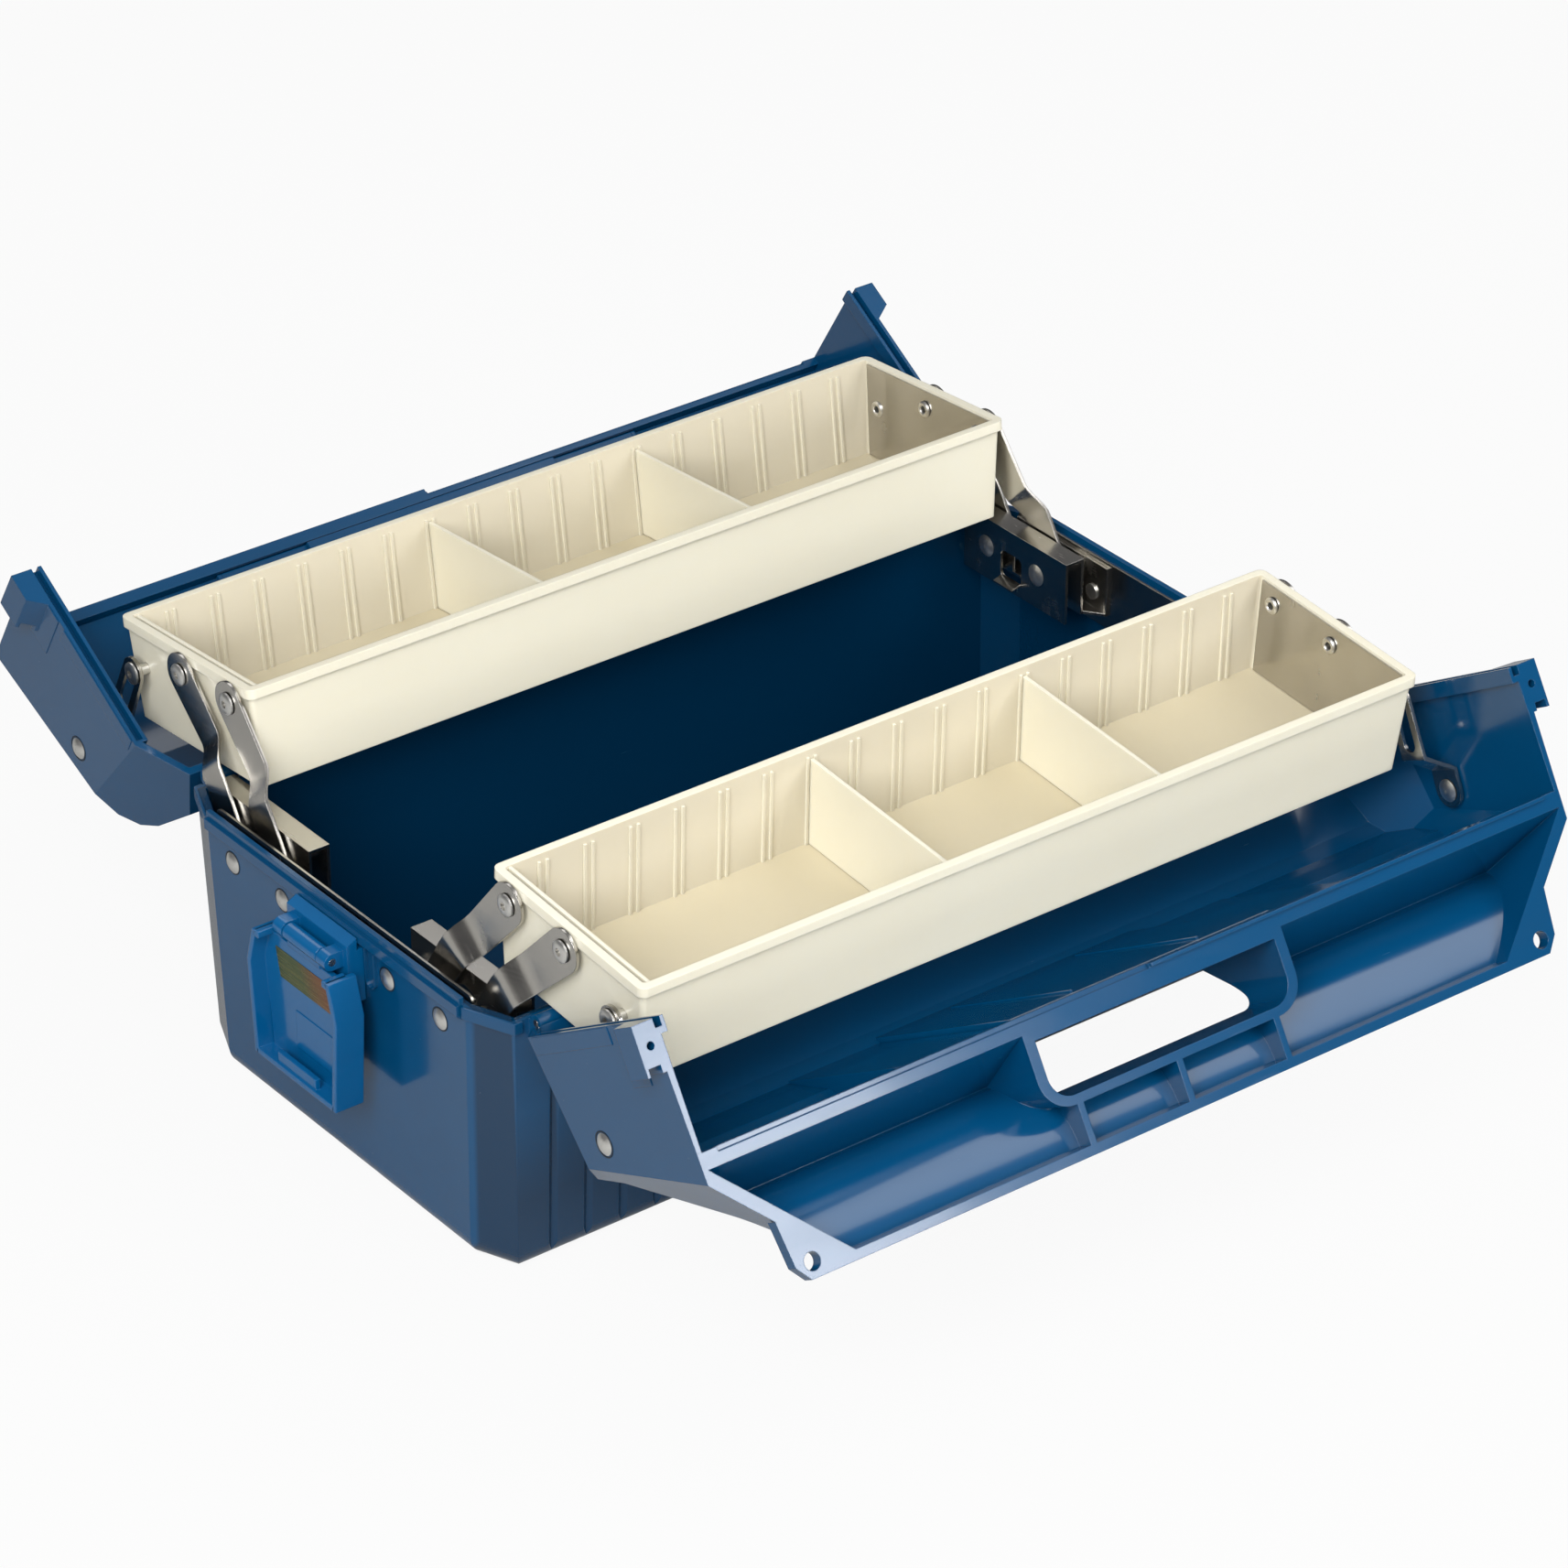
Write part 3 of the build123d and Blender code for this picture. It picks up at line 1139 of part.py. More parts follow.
# Latch base on the body's end wall
with BuildPart() as latch_base:
    with BuildSketch(Plane.XZ):
        bead_foot = BODY_HEIGHT - BEAD_HEIGHT - BEAD_DEPTH - SEAT_GAP
        bead_face = RIM_X + BEAD_DEPTH + SEAT_GAP
        Polygon(
            (end_wall_x(BASE_FOOT) + SEAT_GAP, BASE_FOOT),
            (BASE_OUT, BASE_FOOT),
            (BASE_OUT, BASE_TOP - (BASE_OUT - bead_face) / 2),
            (bead_face, BASE_TOP),
            (bead_face, bead_foot),
            (end_wall_x(bead_foot) + SEAT_GAP, bead_foot),
            align=None,
        )
    extrude(amount=BASE_HALF, both=True)
    with BuildSketch(Plane.XZ):
        with Locations((LATCH_PIN_X, LATCH_PIN_Z)):
            Circle(LATCH_KNUCKLE_RADIUS)
            Rectangle(
                LATCH_PIN_X - BASE_OUT + SHEET,
                2 * LATCH_KNUCKLE_RADIUS,
                align=(Align.MAX, Align.CENTER),
            )
    extrude(amount=LATCH_PIN_HALF, both=True)
    with Locations((LATCH_PIN_X, 0, LATCH_PIN_Z)):
        Box(
            2 * (LATCH_PIN_X - BASE_OUT),
            2 * (LATCH_BARREL_HALF + LATCH_KNUCKLE_GAP),
            4 * LATCH_KNUCKLE_RADIUS,
            mode=Mode.SUBTRACT,
        )
        Cylinder(
            LATCH_PIN_RADIUS + PRESS_GAP, 4 * BASE_HALF, rotation=(90, 0, 0), mode=Mode.SUBTRACT
        )

with BuildPart() as latch_pin:
    with Locations((LATCH_PIN_X, 0, LATCH_PIN_Z)):
        Cylinder(LATCH_PIN_RADIUS, 2 * LATCH_PIN_HALF, rotation=(90, 0, 0))


def lever_outline(inset, foot_inset, top):
    """Front outline of the hanging lever, set in from its sides and foot."""
    with BuildSketch(Plane.YZ) as outline:
        Polygon(
            (LEVER_TOP_HALF - inset, top),
            (LEVER_WIDE_HALF - inset, LEVER_SHOULDER),
            (LEVER_FOOT_HALF - inset, LEVER_FOOT + foot_inset),
            (inset - LEVER_FOOT_HALF, LEVER_FOOT + foot_inset),
            (inset - LEVER_WIDE_HALF, LEVER_SHOULDER),
            (inset - LEVER_TOP_HALF, top),
            align=None,
        )
    return outline.sketch


# Latch lever, hanging: a shallow tray on a barrel, open to the front
LEVER_FACE = LEVER_PANEL + LEVER_PANEL_THICK
with BuildPart() as latch_lever:
    extrude(
        Pos(LEVER_BACK, 0, 0) * lever_outline(0, 0, LEVER_TOP), amount=LEVER_FRONT - LEVER_BACK
    )
    extrude(
        Pos(LEVER_FACE, 0, 0) * lever_outline(LEVER_WALL, LEVER_WALL, LEVER_TOP + LEVER_WALL),
        amount=LEVER_FRONT,
        mode=Mode.SUBTRACT,
    )
    extrude(
        Pos(LEVER_PANEL, 0, 0) * lever_outline(LEVER_WALL, LEVER_WALL, LEVER_TOP + LEVER_WALL),
        amount=-LEVER_PANEL,
        mode=Mode.SUBTRACT,
    )
    with Locations((LATCH_PIN_X, 0, LEVER_PANEL_TOP)):
        Box(
            LEVER_FRONT,
            2 * LEVER_NOTCH_HALF,
            LEVER_TOP,
            align=(Align.CENTER, Align.CENTER, Align.MIN),
            mode=Mode.SUBTRACT,
        )
    with Locations((LEVER_PANEL, 0, LEVER_PANEL_TOP - LEVER_WALL)):
        Box(
            LEVER_PANEL_THICK,
            2 * LATCH_BARREL_HALF,
            LATCH_PIN_Z - LEVER_PANEL_TOP + LEVER_WALL,
            align=(Align.MIN, Align.CENTER, Align.MIN),
        )
    with Locations((LATCH_PIN_X, 0, LATCH_PIN_Z)):
        Cylinder(LATCH_KNUCKLE_RADIUS, 2 * LATCH_BARREL_HALF, rotation=(90, 0, 0))
        Cylinder(
            LATCH_PIN_RADIUS + RUNNING_GAP,
            2 * LATCH_PIN_HALF,
            rotation=(90, 0, 0),
            mode=Mode.SUBTRACT,
        )
    with Locations((LEVER_FACE, 0, LATCH_PIN_Z - CATCH_REACH)):
        Box(
            CATCH_OUT, 2 * CATCH_HALF, CATCH_THICK, align=(Align.MIN, Align.CENTER, Align.MAX)
        )
    with Locations((LEVER_FACE, 0, PULL_LIP_FOOT)):
        Box(
            LEVER_FRONT - LEVER_FACE,
            2 * CATCH_HALF,
            PULL_LIP_THICK,
            align=(Align.MIN, Align.CENTER, Align.MIN),
        )

# Plain foil strip on the lever's panel
with BuildPart() as latch_foil:
    with BuildSketch(Plane.YZ.offset(LEVER_FACE)):
        Polygon(
            (FOIL_TOP_HALF, FOIL_TOP),
            (FOIL_FOOT_HALF, FOIL_FOOT),
            (-FOIL_FOOT_HALF, FOIL_FOOT),
            (-FOIL_TOP_HALF, FOIL_TOP),
            align=None,
        )
    extrude(amount=FOIL_THICK)

for end_name, end in LEFT_RIGHT:
    save(corner_of(latch_base.part, end, 1), f"latch_base_{end_name}")
    save(corner_of(latch_pin.part, end, 1), f"latch_pin_{end_name}")
    save(corner_of(latch_lever.part, end, 1), f"latch_lever_{end_name}")
    save(corner_of(latch_foil.part, end, 1), f"latch_foil_{end_name}")
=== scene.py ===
"""Looks of the two-way tool box: finishes, moulded details, studio and camera.

The pieces' sizes are in millimetres, and a piece goes to metres when it is made. X runs along the
box and Y across it, with the front at -Y, and Z is up. What is given for the right end and the
back side is mirrored or turned to the others.
"""

from __future__ import annotations

import logging
import math
from dataclasses import dataclass
from enum import Enum
from itertools import accumulate
from typing import Any, Sequence, Union

import bmesh
import bpy
from mathutils import Matrix, Vector

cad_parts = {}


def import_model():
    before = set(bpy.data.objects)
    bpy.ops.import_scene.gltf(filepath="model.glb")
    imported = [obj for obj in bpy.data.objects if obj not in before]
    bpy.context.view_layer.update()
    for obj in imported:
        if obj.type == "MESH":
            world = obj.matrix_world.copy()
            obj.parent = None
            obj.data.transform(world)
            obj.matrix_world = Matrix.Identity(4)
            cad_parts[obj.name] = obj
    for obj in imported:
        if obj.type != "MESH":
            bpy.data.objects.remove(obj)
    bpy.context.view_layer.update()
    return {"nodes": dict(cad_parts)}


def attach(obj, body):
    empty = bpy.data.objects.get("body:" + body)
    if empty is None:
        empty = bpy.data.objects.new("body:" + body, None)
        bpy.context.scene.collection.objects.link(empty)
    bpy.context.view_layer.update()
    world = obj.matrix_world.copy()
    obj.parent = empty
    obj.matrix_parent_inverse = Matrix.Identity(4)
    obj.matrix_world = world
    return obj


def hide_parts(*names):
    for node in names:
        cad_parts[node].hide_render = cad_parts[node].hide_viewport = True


log = logging.getLogger("tool_box")

MM = 0.001
LEFT_RIGHT = (("left", -1), ("right", 1))
FRONT_BACK = (("front", -1), ("back", 1))

# Sizes that finishes and pieces share, in millimetres and degrees
BODY_HEIGHT = 111.3
WALL_LEAN = 2.2  # how far in a body wall is at its foot
TRAY_PIVOT = (122.70, 148.40)  # Y and Z of the outer arms' pivot on the back tray
TRAY_TILT = 4.5

HARD_EDGE = math.radians(30)
EASED_EDGE = math.radians(35)
TURNED_SIDES = 32

Number = Union[int, float]
Pair = tuple[float, float]
Place = tuple[float, float, float]
Colour = tuple[float, float, float]
Outline = tuple[Pair, ...]
Box = tuple[Place, Place]
Station = tuple[Vector, Vector, float, float]  # middle, direction, half width and run


def mm(*values: float) -> Vector:
    """Millimetres as a vector in metres."""
    return Vector(values) * MM


def dimmed(colour: Colour, share: float) -> Colour:
    """A darker tone of a colour."""
    return tuple(c * share for c in colour)


def added(name: str, data: Any) -> bpy.types.Object:
    """Add an object to the scene, at the origin.

    Args:
        name: The object's name.
        data: Its mesh, lamp or camera data.

    Returns:
        The object.
    """
    made = bpy.data.objects.new(name, data)
    bpy.context.scene.collection.objects.link(made)
    return made


def face_along(thing: bpy.types.Object, way: Vector) -> None:
    """Turn a lamp or camera to look along a direction."""
    thing.rotation_mode = "QUATERNION"
    thing.rotation_quaternion = way.to_track_quat("-Z", "Y")


def hung(pivot: Pair, degrees: float, hole: Pair) -> Matrix:
    """From a drawing to the piece turned about X, with the drawing's hole on the pivot."""
    turn = Matrix.Rotation(math.radians(degrees), 4, "X")
    return Matrix.Translation((0, *pivot)) @ turn @ Matrix.Translation((0, -hole[0], -hole[1]))


# Shader maths


class Graph:
    """The nodes of one material, world or modifier."""

    def __init__(self, owner: Any) -> None:
        """Start with an empty tree.

        Args:
            owner: The new material, world or node group.
        """
        self.owner = owner
        if isinstance(owner, bpy.types.NodeTree):
            self.tree = owner
        else:
            owner.use_nodes = True
            self.tree = owner.node_tree
        self.tree.nodes.clear()

    def node(self, kind: str, settings: dict[str, Any] | None = None, **sockets: Any) -> Any:
        """Make one node.

        Args:
            kind: The node's type, which may lack the ShaderNode at its start.
            settings: Properties to set first, such as an operation or a ramp's stops.
            **sockets: Values or links by socket name, with _ for a space, or i0 for an index.

        Returns:
            The new node.
        """
        made = self.tree.nodes.new(kind if "Node" in kind else "ShaderNode" + kind)
        for key, value in (settings or {}).items():
            if key == "stops":
                self.set_stops(made.color_ramp, value)
            else:
                setattr(made, key, value)
        for key, value in sockets.items():
            index = int(key[1:]) if key[0] == "i" and key[1:].isdigit() else key.replace("_", " ")
            socket = made.inputs[index]
            if isinstance(value, Signal):
                self.tree.links.new(value.socket, socket)
            else:
                socket.default_value = value
        return made

    @staticmethod
    def set_stops(ramp: Any, stops: Sequence[tuple[float, Colour]]) -> None:
        """Give a colour ramp its stops.

        Args:
            ramp: The ramp to change.
            stops: Pairs of position and colour, in order.
        """
        while len(ramp.elements) < len(stops):
            ramp.elements.new(1.0)
        for element, (position, colour) in zip(ramp.elements, stops):
            element.position = position
            element.color = (*colour, 1.0)

    def signal(self, kind: str, output: Union[str, int] = 0,
               settings: dict[str, Any] | None = None, **sockets: Any) -> Signal:
        """Make a node and wrap one of its outputs, given by name or index."""
        return Signal(self, self.node(kind, settings, **sockets).outputs[output])

    def place(self) -> Signal:
        """Object coordinates, in metres."""
        return self.signal("TexCoord", "Object")

    def mix(self, share: Union[Signal, Number], low: Any, high: Any) -> Signal:
        """Blend two colours, each a tuple or a signal, by the second one's share."""
        ends = [(*c, 1.0) if isinstance(c, tuple) else c for c in (low, high)]
        return self.signal("Mix", 2, {"data_type": "RGBA"}, i0=share, i6=ends[0], i7=ends[1])

    def noise(self, vector: Signal, scale: float = 1.0, detail: float = 2.0,
              roughness: float = 0.5) -> Signal:
        """Soft noise from 0 to 1, its scale in waves per metre of the place given."""
        return self.signal("TexNoise", 0, None, Vector=vector, Scale=scale, Detail=detail,
                           Roughness=roughness)

    def stretched(self, vector: Signal, scale: Place, turn: Place = (0.0, 0.0, 0.0)) -> Signal:
        """A place scaled along each axis and then turned, in radians."""
        return self.signal("Mapping", 0, {"vector_type": "POINT"}, Vector=vector, Scale=scale,
                           Rotation=turn)

    def bump(self, height: Signal, depth: float, under: Signal | None = None) -> Signal:
        """A normal from a height.

        Args:
            height: The height, from 0 to 1.
            depth: What a height of 1 stands for, in metres.
            under: A normal that this bump lies on.

        Returns:
            The normal.
        """
        sockets: dict[str, Any] = {"Height": height, "Distance": depth, "Strength": 1.0}
        if under is not None:
            sockets["Normal"] = under
        return self.signal("Bump", 0, None, **sockets)

    def rounded(self, radius: float) -> Signal:
        """The normal of edges that are eased by a radius in millimetres."""
        return self.signal("Bevel", 0, {"samples": 4}, Radius=radius * MM)

    def finish(self, **sockets: Any) -> bpy.types.Material:
        """Add the shader and the output.

        Args:
            **sockets: Values or links of the Principled shader.

        Returns:
            The finished material.
        """
        shader = self.signal("BsdfPrincipled", 0, None, **sockets)
        self.node("OutputMaterial", None, Surface=shader)
        return self.owner


class Signal:
    """A socket that takes part in sums."""

    def __init__(self, graph: Graph, socket: Any) -> None:
        """Wrap a node's output socket."""
        self.graph = graph
        self.socket = socket

    def _maths(self, operation: str, *values: Any) -> Signal:
        """One Math node on some values, in order."""
        sockets = {f"i{n}": value for n, value in enumerate(values)}
        return self.graph.signal("Math", 0, {"operation": operation}, **sockets)

    def __add__(self, other: Any) -> Signal:
        """Sum."""
        return self._maths("ADD", self, other)

    __radd__ = __add__

    def __sub__(self, other: Any) -> Signal:
        """Difference."""
        return self._maths("SUBTRACT", self, other)

    def __rsub__(self, other: Any) -> Signal:
        """Difference from a number."""
        return self._maths("SUBTRACT", other, self)

    def __mul__(self, other: Any) -> Signal:
        """Product."""
        return self._maths("MULTIPLY", self, other)

    __rmul__ = __mul__

    def size(self) -> Signal:
        """Absolute value."""
        return self._maths("ABSOLUTE", self)

    def below(self, limit: float) -> Signal:
        """1 where it is less than a limit, and 0 elsewhere."""
        return self._maths("LESS_THAN", self, limit)

    def band(self, low: float, high: float) -> Signal:
        """0 up to a low value and 1 from a high one, straight between."""
        return self.graph.signal("MapRange", 0, {"clamp": True}, i0=self, i1=low, i2=high,
                                 i3=0.0, i4=1.0)

    def part(self, axis: str) -> Signal:
        """One coordinate of a place."""
        return self.graph.signal("SeparateXYZ", axis, None, Vector=self)


# Finishes


@dataclass(frozen=True)
class MouldedPlastic:
    """Glossy injection-moulded plastic with faint flow marks, haze and fine scratches."""

    name: str
    colour: Colour
    shade: Colour
    roughness: float = 0.16
    haze: float = 0.1  # how far the roughness drifts
    ripple: float = 0.00004
    coat: float = 0.25
    glow: float = 0.0  # light scattered below the surface
    glow_tint: Place = (1.0, 0.92, 0.75)
    glow_depth: float = 0.004
    edge: float = 0.45
    wear: float = 0.14
    cloud_scale: float = 9.0
    flow_scale: float = 22.0
    flow_stretch: Place = (1.0, 3.0, 3.0)
    grain_scale: float = 1400.0
    scratch_stretch: Place = (60.0, 900.0, 900.0)
    scratch_turn: Place = (0.3, 0.2, 0.6)

    def tinted(self, g: Graph, place: Signal, colour: Signal) -> Signal:
        """The colour with what the finish adds to some faces, which is nothing here."""
        return colour

    def make(self) -> bpy.types.Material:
        """Make the plastic.

        Returns:
            The material.
        """
        g = Graph(bpy.data.materials.new(self.name))
        place = g.place()
        cloud = g.noise(place, self.cloud_scale, detail=3.0)
        flow = g.noise(g.stretched(place, self.flow_stretch), self.flow_scale, detail=4.0,
                       roughness=0.6)
        grain = g.noise(place, self.grain_scale)
        scratch = g.noise(g.stretched(place, self.scratch_stretch, self.scratch_turn), detail=3.0)
        worn = scratch.band(0.66, 0.8)
        mottled = cloud.band(0.3, 0.7) * 0.6 + flow.band(0.4, 0.75) * 0.4
        colour = g.mix(mottled, self.colour, self.shade)
        rough = flow * self.haze + worn * self.wear + self.roughness - self.haze / 2
        normal = g.bump(flow * 0.8 + grain * 0.06, self.ripple, g.rounded(self.edge))
        return g.finish(
            Base_Color=self.tinted(g, place, colour), Roughness=rough, IOR=1.5,
            Coat_Weight=self.coat, Coat_Roughness=0.06, Subsurface_Weight=self.glow,
            Subsurface_Scale=self.glow_depth, Subsurface_Radius=self.glow_tint, Normal=normal)


@dataclass(frozen=True)
class ShellBlue(MouldedPlastic):
    """Blue plastic of the body, with painted shade on the inside and on the underside, where
    little light comes.
    """

    # colour of the painted shade inside the walls and on the underside
    inside: Colour = (0.0003, 0.026, 0.07)
    rim: Pair = (195.75, 101.75)  # X and Y where the inside ends, at the rim
    rim_blur: float = 0.4
    sole: Pair = (0.8, 1.6)  # Z where the underside ends

    def tinted(self, g: Graph, place: Signal, colour: Signal) -> Signal:
        """The colour, with painted shade within the walls and on the underside.

        Args:
            g: The material's graph.
            place: The place on the body.
            colour: The colour of the outside.

        Returns:
            The colour.
        """
        height = place.part("Z")
        lean = (BODY_HEIGHT * MM - height) * (WALL_LEAN / BODY_HEIGHT)
        end, flank = (
            (place.part(axis).size() + lean).band((at - self.rim_blur) * MM,
                                                  (at + self.rim_blur) * MM)
            for axis, at in zip("XY", self.rim))
        # the underside, low down, also takes the painted shade
        under = 1 - height.band(*(z * MM for z in self.sole))
        # painted shade: the inside and the underside get the darker colour
        return g.mix((end + flank + under).band(0.0, 1.0), self.inside, colour)


@dataclass(frozen=True)
class TrayIvory(MouldedPlastic):
    """Ivory plastic of a tray, yellower on its floor, with painted shade on the inside of its far
    wall.
    """

    colour: Colour = (0.79, 0.755, 0.62)
    shade: Colour = (0.775, 0.73, 0.585)
    roughness: float = 0.32
    haze: float = 0.08
    coat: float = 0.15
    glow: float = 0.2
    wear: float = 0.0
    floor_colour: Colour = (0.62, 0.555, 0.4)
    # colour of the painted shade on the walls that face inwards
    inner_wall_painted_shade: Colour = (0.61, 0.56, 0.44)
    middle: float = 121.7  # Y of the tray's middle
    floor_drop: float = 31.75  # from the pivot down to the floor
    floor_edge: Pair = (0.6, 1.2)
    floor_cloud_scale: float = 30.0
    wall_edge: Pair = (5.0, 20.0)
    upward: Pair = (0.6, 0.9)
    far_side: int = 1  # 1 for the back tray and -1 for the front one

    def tinted(self, g: Graph, place: Signal, colour: Signal) -> Signal:
        """The colour, darker and yellower on the floor, with painted shade on the walls that face
        inwards.

        Args:
            g: The material's graph.
            place: The place on the tray.
            colour: The colour of the outside.

        Returns:
            The colour.
        """
        y, z = TRAY_PIVOT
        slope = math.tan(math.radians(TRAY_TILT)) * self.far_side
        level = place.part("Z") + place.part("Y") * slope
        top = (z - self.floor_drop) * MM + y * MM * abs(slope)
        low = 1 - level.band(*(top + edge * MM for edge in self.floor_edge))
        normal = g.signal("TexCoord", "Normal")
        up = normal.part("Z").band(*self.upward)
        cloud = g.noise(place, self.floor_cloud_scale, detail=3.0).band(0.3, 0.8)
        floor = g.mix(cloud * 0.4, self.floor_colour, dimmed(self.floor_colour, 0.9))
        # painted shade on the walls that face inwards
        inwards = (self.middle * self.far_side * MM - place.part("Y")) * normal.part("Y")
        walls = g.mix(inwards.band(*(edge * MM for edge in self.wall_edge)),
                      colour, self.inner_wall_painted_shade)
        return g.mix(low * up, walls, floor)


@dataclass(frozen=True)
class RolledSteel:
    """Bright stainless sheet with rolling lines, smudges and small scratches."""

    name: str
    colour: Colour = (0.54, 0.52, 0.485)
    roughness: float = 0.12
    relief: float = 0.000012
    edge: float = 0.25
    line_stretch: Place = (30.0, 30.0, 1400.0)
    smudge_scale: float = 45.0
    scratch_stretch: Place = (700.0, 90.0, 40.0)
    scratch_turn: Place = (0.5, 0.4, 0.2)

    def make(self) -> bpy.types.Material:
        """Make the sheet steel.

        Returns:
            The material.
        """
        g = Graph(bpy.data.materials.new(self.name))
        place = g.place()
        lines = g.noise(g.stretched(place, self.line_stretch), detail=3.0, roughness=0.6)
        smudge = g.noise(place, self.smudge_scale, detail=3.0)
        scratch = g.noise(g.stretched(place, self.scratch_stretch, self.scratch_turn))
        marks = scratch.band(0.64, 0.76)
        colour = g.mix(smudge.band(0.35, 0.75) * 0.35, self.colour, dimmed(self.colour, 0.72))
        rough = lines * 0.12 + smudge.band(0.3, 0.8) * 0.1 + marks * 0.12 + self.roughness
        normal = g.bump(lines * 0.7 + marks * 0.3, self.relief, g.rounded(self.edge))
        return g.finish(Base_Color=colour, Metallic=1.0, Roughness=rough, Normal=normal)


@dataclass(frozen=True)
class SatinRivet:
    """Tumbled rivet metal with a soft grain."""

    name: str
    colour: Colour = (0.74, 0.73, 0.7)
    roughness: float = 0.26
    relief: float = 0.00003
    grain_scale: float = 1600.0
    spot_scale: float = 420.0

    def make(self) -> bpy.types.Material:
        """Make the rivet metal.

        Returns:
            The material.
        """
        g = Graph(bpy.data.materials.new(self.name))
        place = g.place()
        grain = g.noise(place, self.grain_scale, detail=3.0)
        spots = g.noise(place, self.spot_scale).band(0.55, 0.8)
        colour = g.mix(spots * 0.5, self.colour, dimmed(self.colour, 0.7))
        return g.finish(Base_Color=colour, Metallic=1.0, Roughness=grain * 0.2 + self.roughness,
                        Normal=g.bump(grain, self.relief))


@dataclass(frozen=True)
class ShotFoil:
    """Reflective foil that goes from olive green to copper red."""

    name: str
    green: Colour = (0.045, 0.07, 0.02)
    red: Colour = (0.26, 0.045, 0.02)
    gold: Colour = (0.4, 0.3, 0.1)
    fall: Pair = (0.9, -0.44)  # how the colour changes along Y and Z
    span: Pair = (-0.058, -0.028)  # from all red to all green
    waver: float = 0.012
    waver_scale: float = 60.0
    roughness: float = 0.2
    relief: float = 0.00002
    streak_stretch: Place = (40.0, 40.0, 900.0)

    def make(self) -> bpy.types.Material:
        """Make the foil.

        Returns:
            The material.
        """
        g = Graph(bpy.data.materials.new(self.name))
        place = g.place()
        drift = (place.part("Y") * self.fall[0] + place.part("Z") * self.fall[1]
                 + g.noise(place, self.waver_scale, detail=4.0) * self.waver)
        streak = g.noise(g.stretched(place, self.streak_stretch), detail=3.0).band(0.4, 0.7)
        colour = g.mix(drift.band(*self.span), self.red, self.green)
        colour = g.mix(streak * 0.15, colour, self.gold)
        return g.finish(Base_Color=colour, Metallic=0.4, Roughness=streak * 0.15 + self.roughness,
                        Normal=g.bump(streak, self.relief))


@dataclass(frozen=True)
class StudioPaper:
    """Plain pale paper that the camera sees as white, with faint shadows."""

    name: str
    colour: Colour = (0.46, 0.46, 0.45)
    whiteness: float = 0.93
    grain_scale: float = 220.0

    def make(self) -> bpy.types.Material:
        """Make the paper.

        Returns:
            The material.
        """
        g = Graph(bpy.data.materials.new(self.name))
        grain = g.noise(g.place(), self.grain_scale)
        colour = g.mix(grain, dimmed(self.colour, 0.985), self.colour)
        paper = g.signal("BsdfPrincipled", 0, None, Base_Color=colour, Roughness=0.9)
        white = g.signal("Emission", 0, None, Color=(1.0, 1.0, 1.0, 1.0), Strength=1.0)
        seen = g.signal("LightPath", "Is Camera Ray") * self.whiteness
        shown = g.signal("MixShader", 0, None, i0=seen, i1=paper, i2=white)
        g.node("OutputMaterial", None, Surface=shown)
        return g.owner


class Finish(Enum):
    """The finishes of the tool box, by what they are on."""

    BLUE = MouldedPlastic("moulded_blue", (0.0005, 0.055, 0.147), (0.0004, 0.048, 0.13))
    SHELL = ShellBlue("moulded_blue_shell", (0.0006, 0.06, 0.16), (0.0005, 0.052, 0.14))
    LATCH = MouldedPlastic("moulded_latch_blue", (0.0017, 0.1, 0.27), (0.0008, 0.085, 0.235))
    IVORY = TrayIvory("moulded_ivory_back")
    IVORY_FRONT = TrayIvory("moulded_ivory_front", far_side=-1)
    STEEL = RolledSteel("rolled_stainless")
    RIVET = SatinRivet("tumbled_rivet")
    # dark plastic rings that stand in for the shadow round each rivet head: painted shadow
    SEAT = MouldedPlastic("painted_shadow_ring", (0.0002, 0.008, 0.02), (0.0001, 0.006, 0.015),
                          roughness=0.5, coat=0.0, wear=0.0)
    FOIL = ShotFoil("shot_foil_strip")

    def material(self) -> bpy.types.Material:
        """The finish's material, made once."""
        made = bpy.data.materials.get(self.value.name)
        return made if made else self.value.make()


FINISH_OF = (
    (("lid_front", "lid_back"), Finish.BLUE),
    (("body_shell",), Finish.SHELL),
    (("latch_base", "latch_lever"), Finish.LATCH),
    (("latch_foil",), Finish.FOIL),
    (("tray_rivets", "body_rivets", "pivot_rivets", "lid_rivets"), Finish.RIVET),
    (("tray_end_plate", "end_plate", "arm_bracket", "outer_arm", "inner_arm", "lid_link",
      "hinge_pin", "latch_pin"), Finish.STEEL),
    (("tray_front", "divider_front"), Finish.IVORY_FRONT),
    (("tray_back", "divider_back"), Finish.IVORY),
)


def dress(node: str) -> None:
    """Give a CAD node the finish that goes with its name.

    Args:
        node: The node's name.
    """
    finish = next(finish for names, finish in FINISH_OF if node.startswith(names))
    mesh = bpy.data.objects[node].data
    mesh.materials.clear()
    mesh.materials.append(finish.material())
    log.info("dressed %s", node)


# Pieces


def soft_shading() -> bpy.types.NodeTree:
    """Node group that smooths every face and keeps the hard edges.

    Returns:
        The group, for a Nodes modifier.
    """
    name = "shade_by_angle"
    made = bpy.data.node_groups.get(name)
    if made:
        return made
    tree = bpy.data.node_groups.new(name, "GeometryNodeTree")
    for way in ("INPUT", "OUTPUT"):
        tree.interface.new_socket("Mesh", in_out=way, socket_type="NodeSocketGeometry")
    g = Graph(tree)
    smooth = g.signal("GeometryNodeSetShadeSmooth", 0, {"domain": "FACE"},
                      Geometry=g.signal("NodeGroupInput"))
    soft = g.signal("GeometryNodeInputMeshEdgeAngle", "Unsigned Angle").below(HARD_EDGE)
    shaded = g.signal("GeometryNodeSetShadeSmooth", 0, {"domain": "EDGE"},
                      Geometry=smooth, Shade_Smooth=soft)
    g.node("NodeGroupOutput", None, i0=shaded)
    return tree


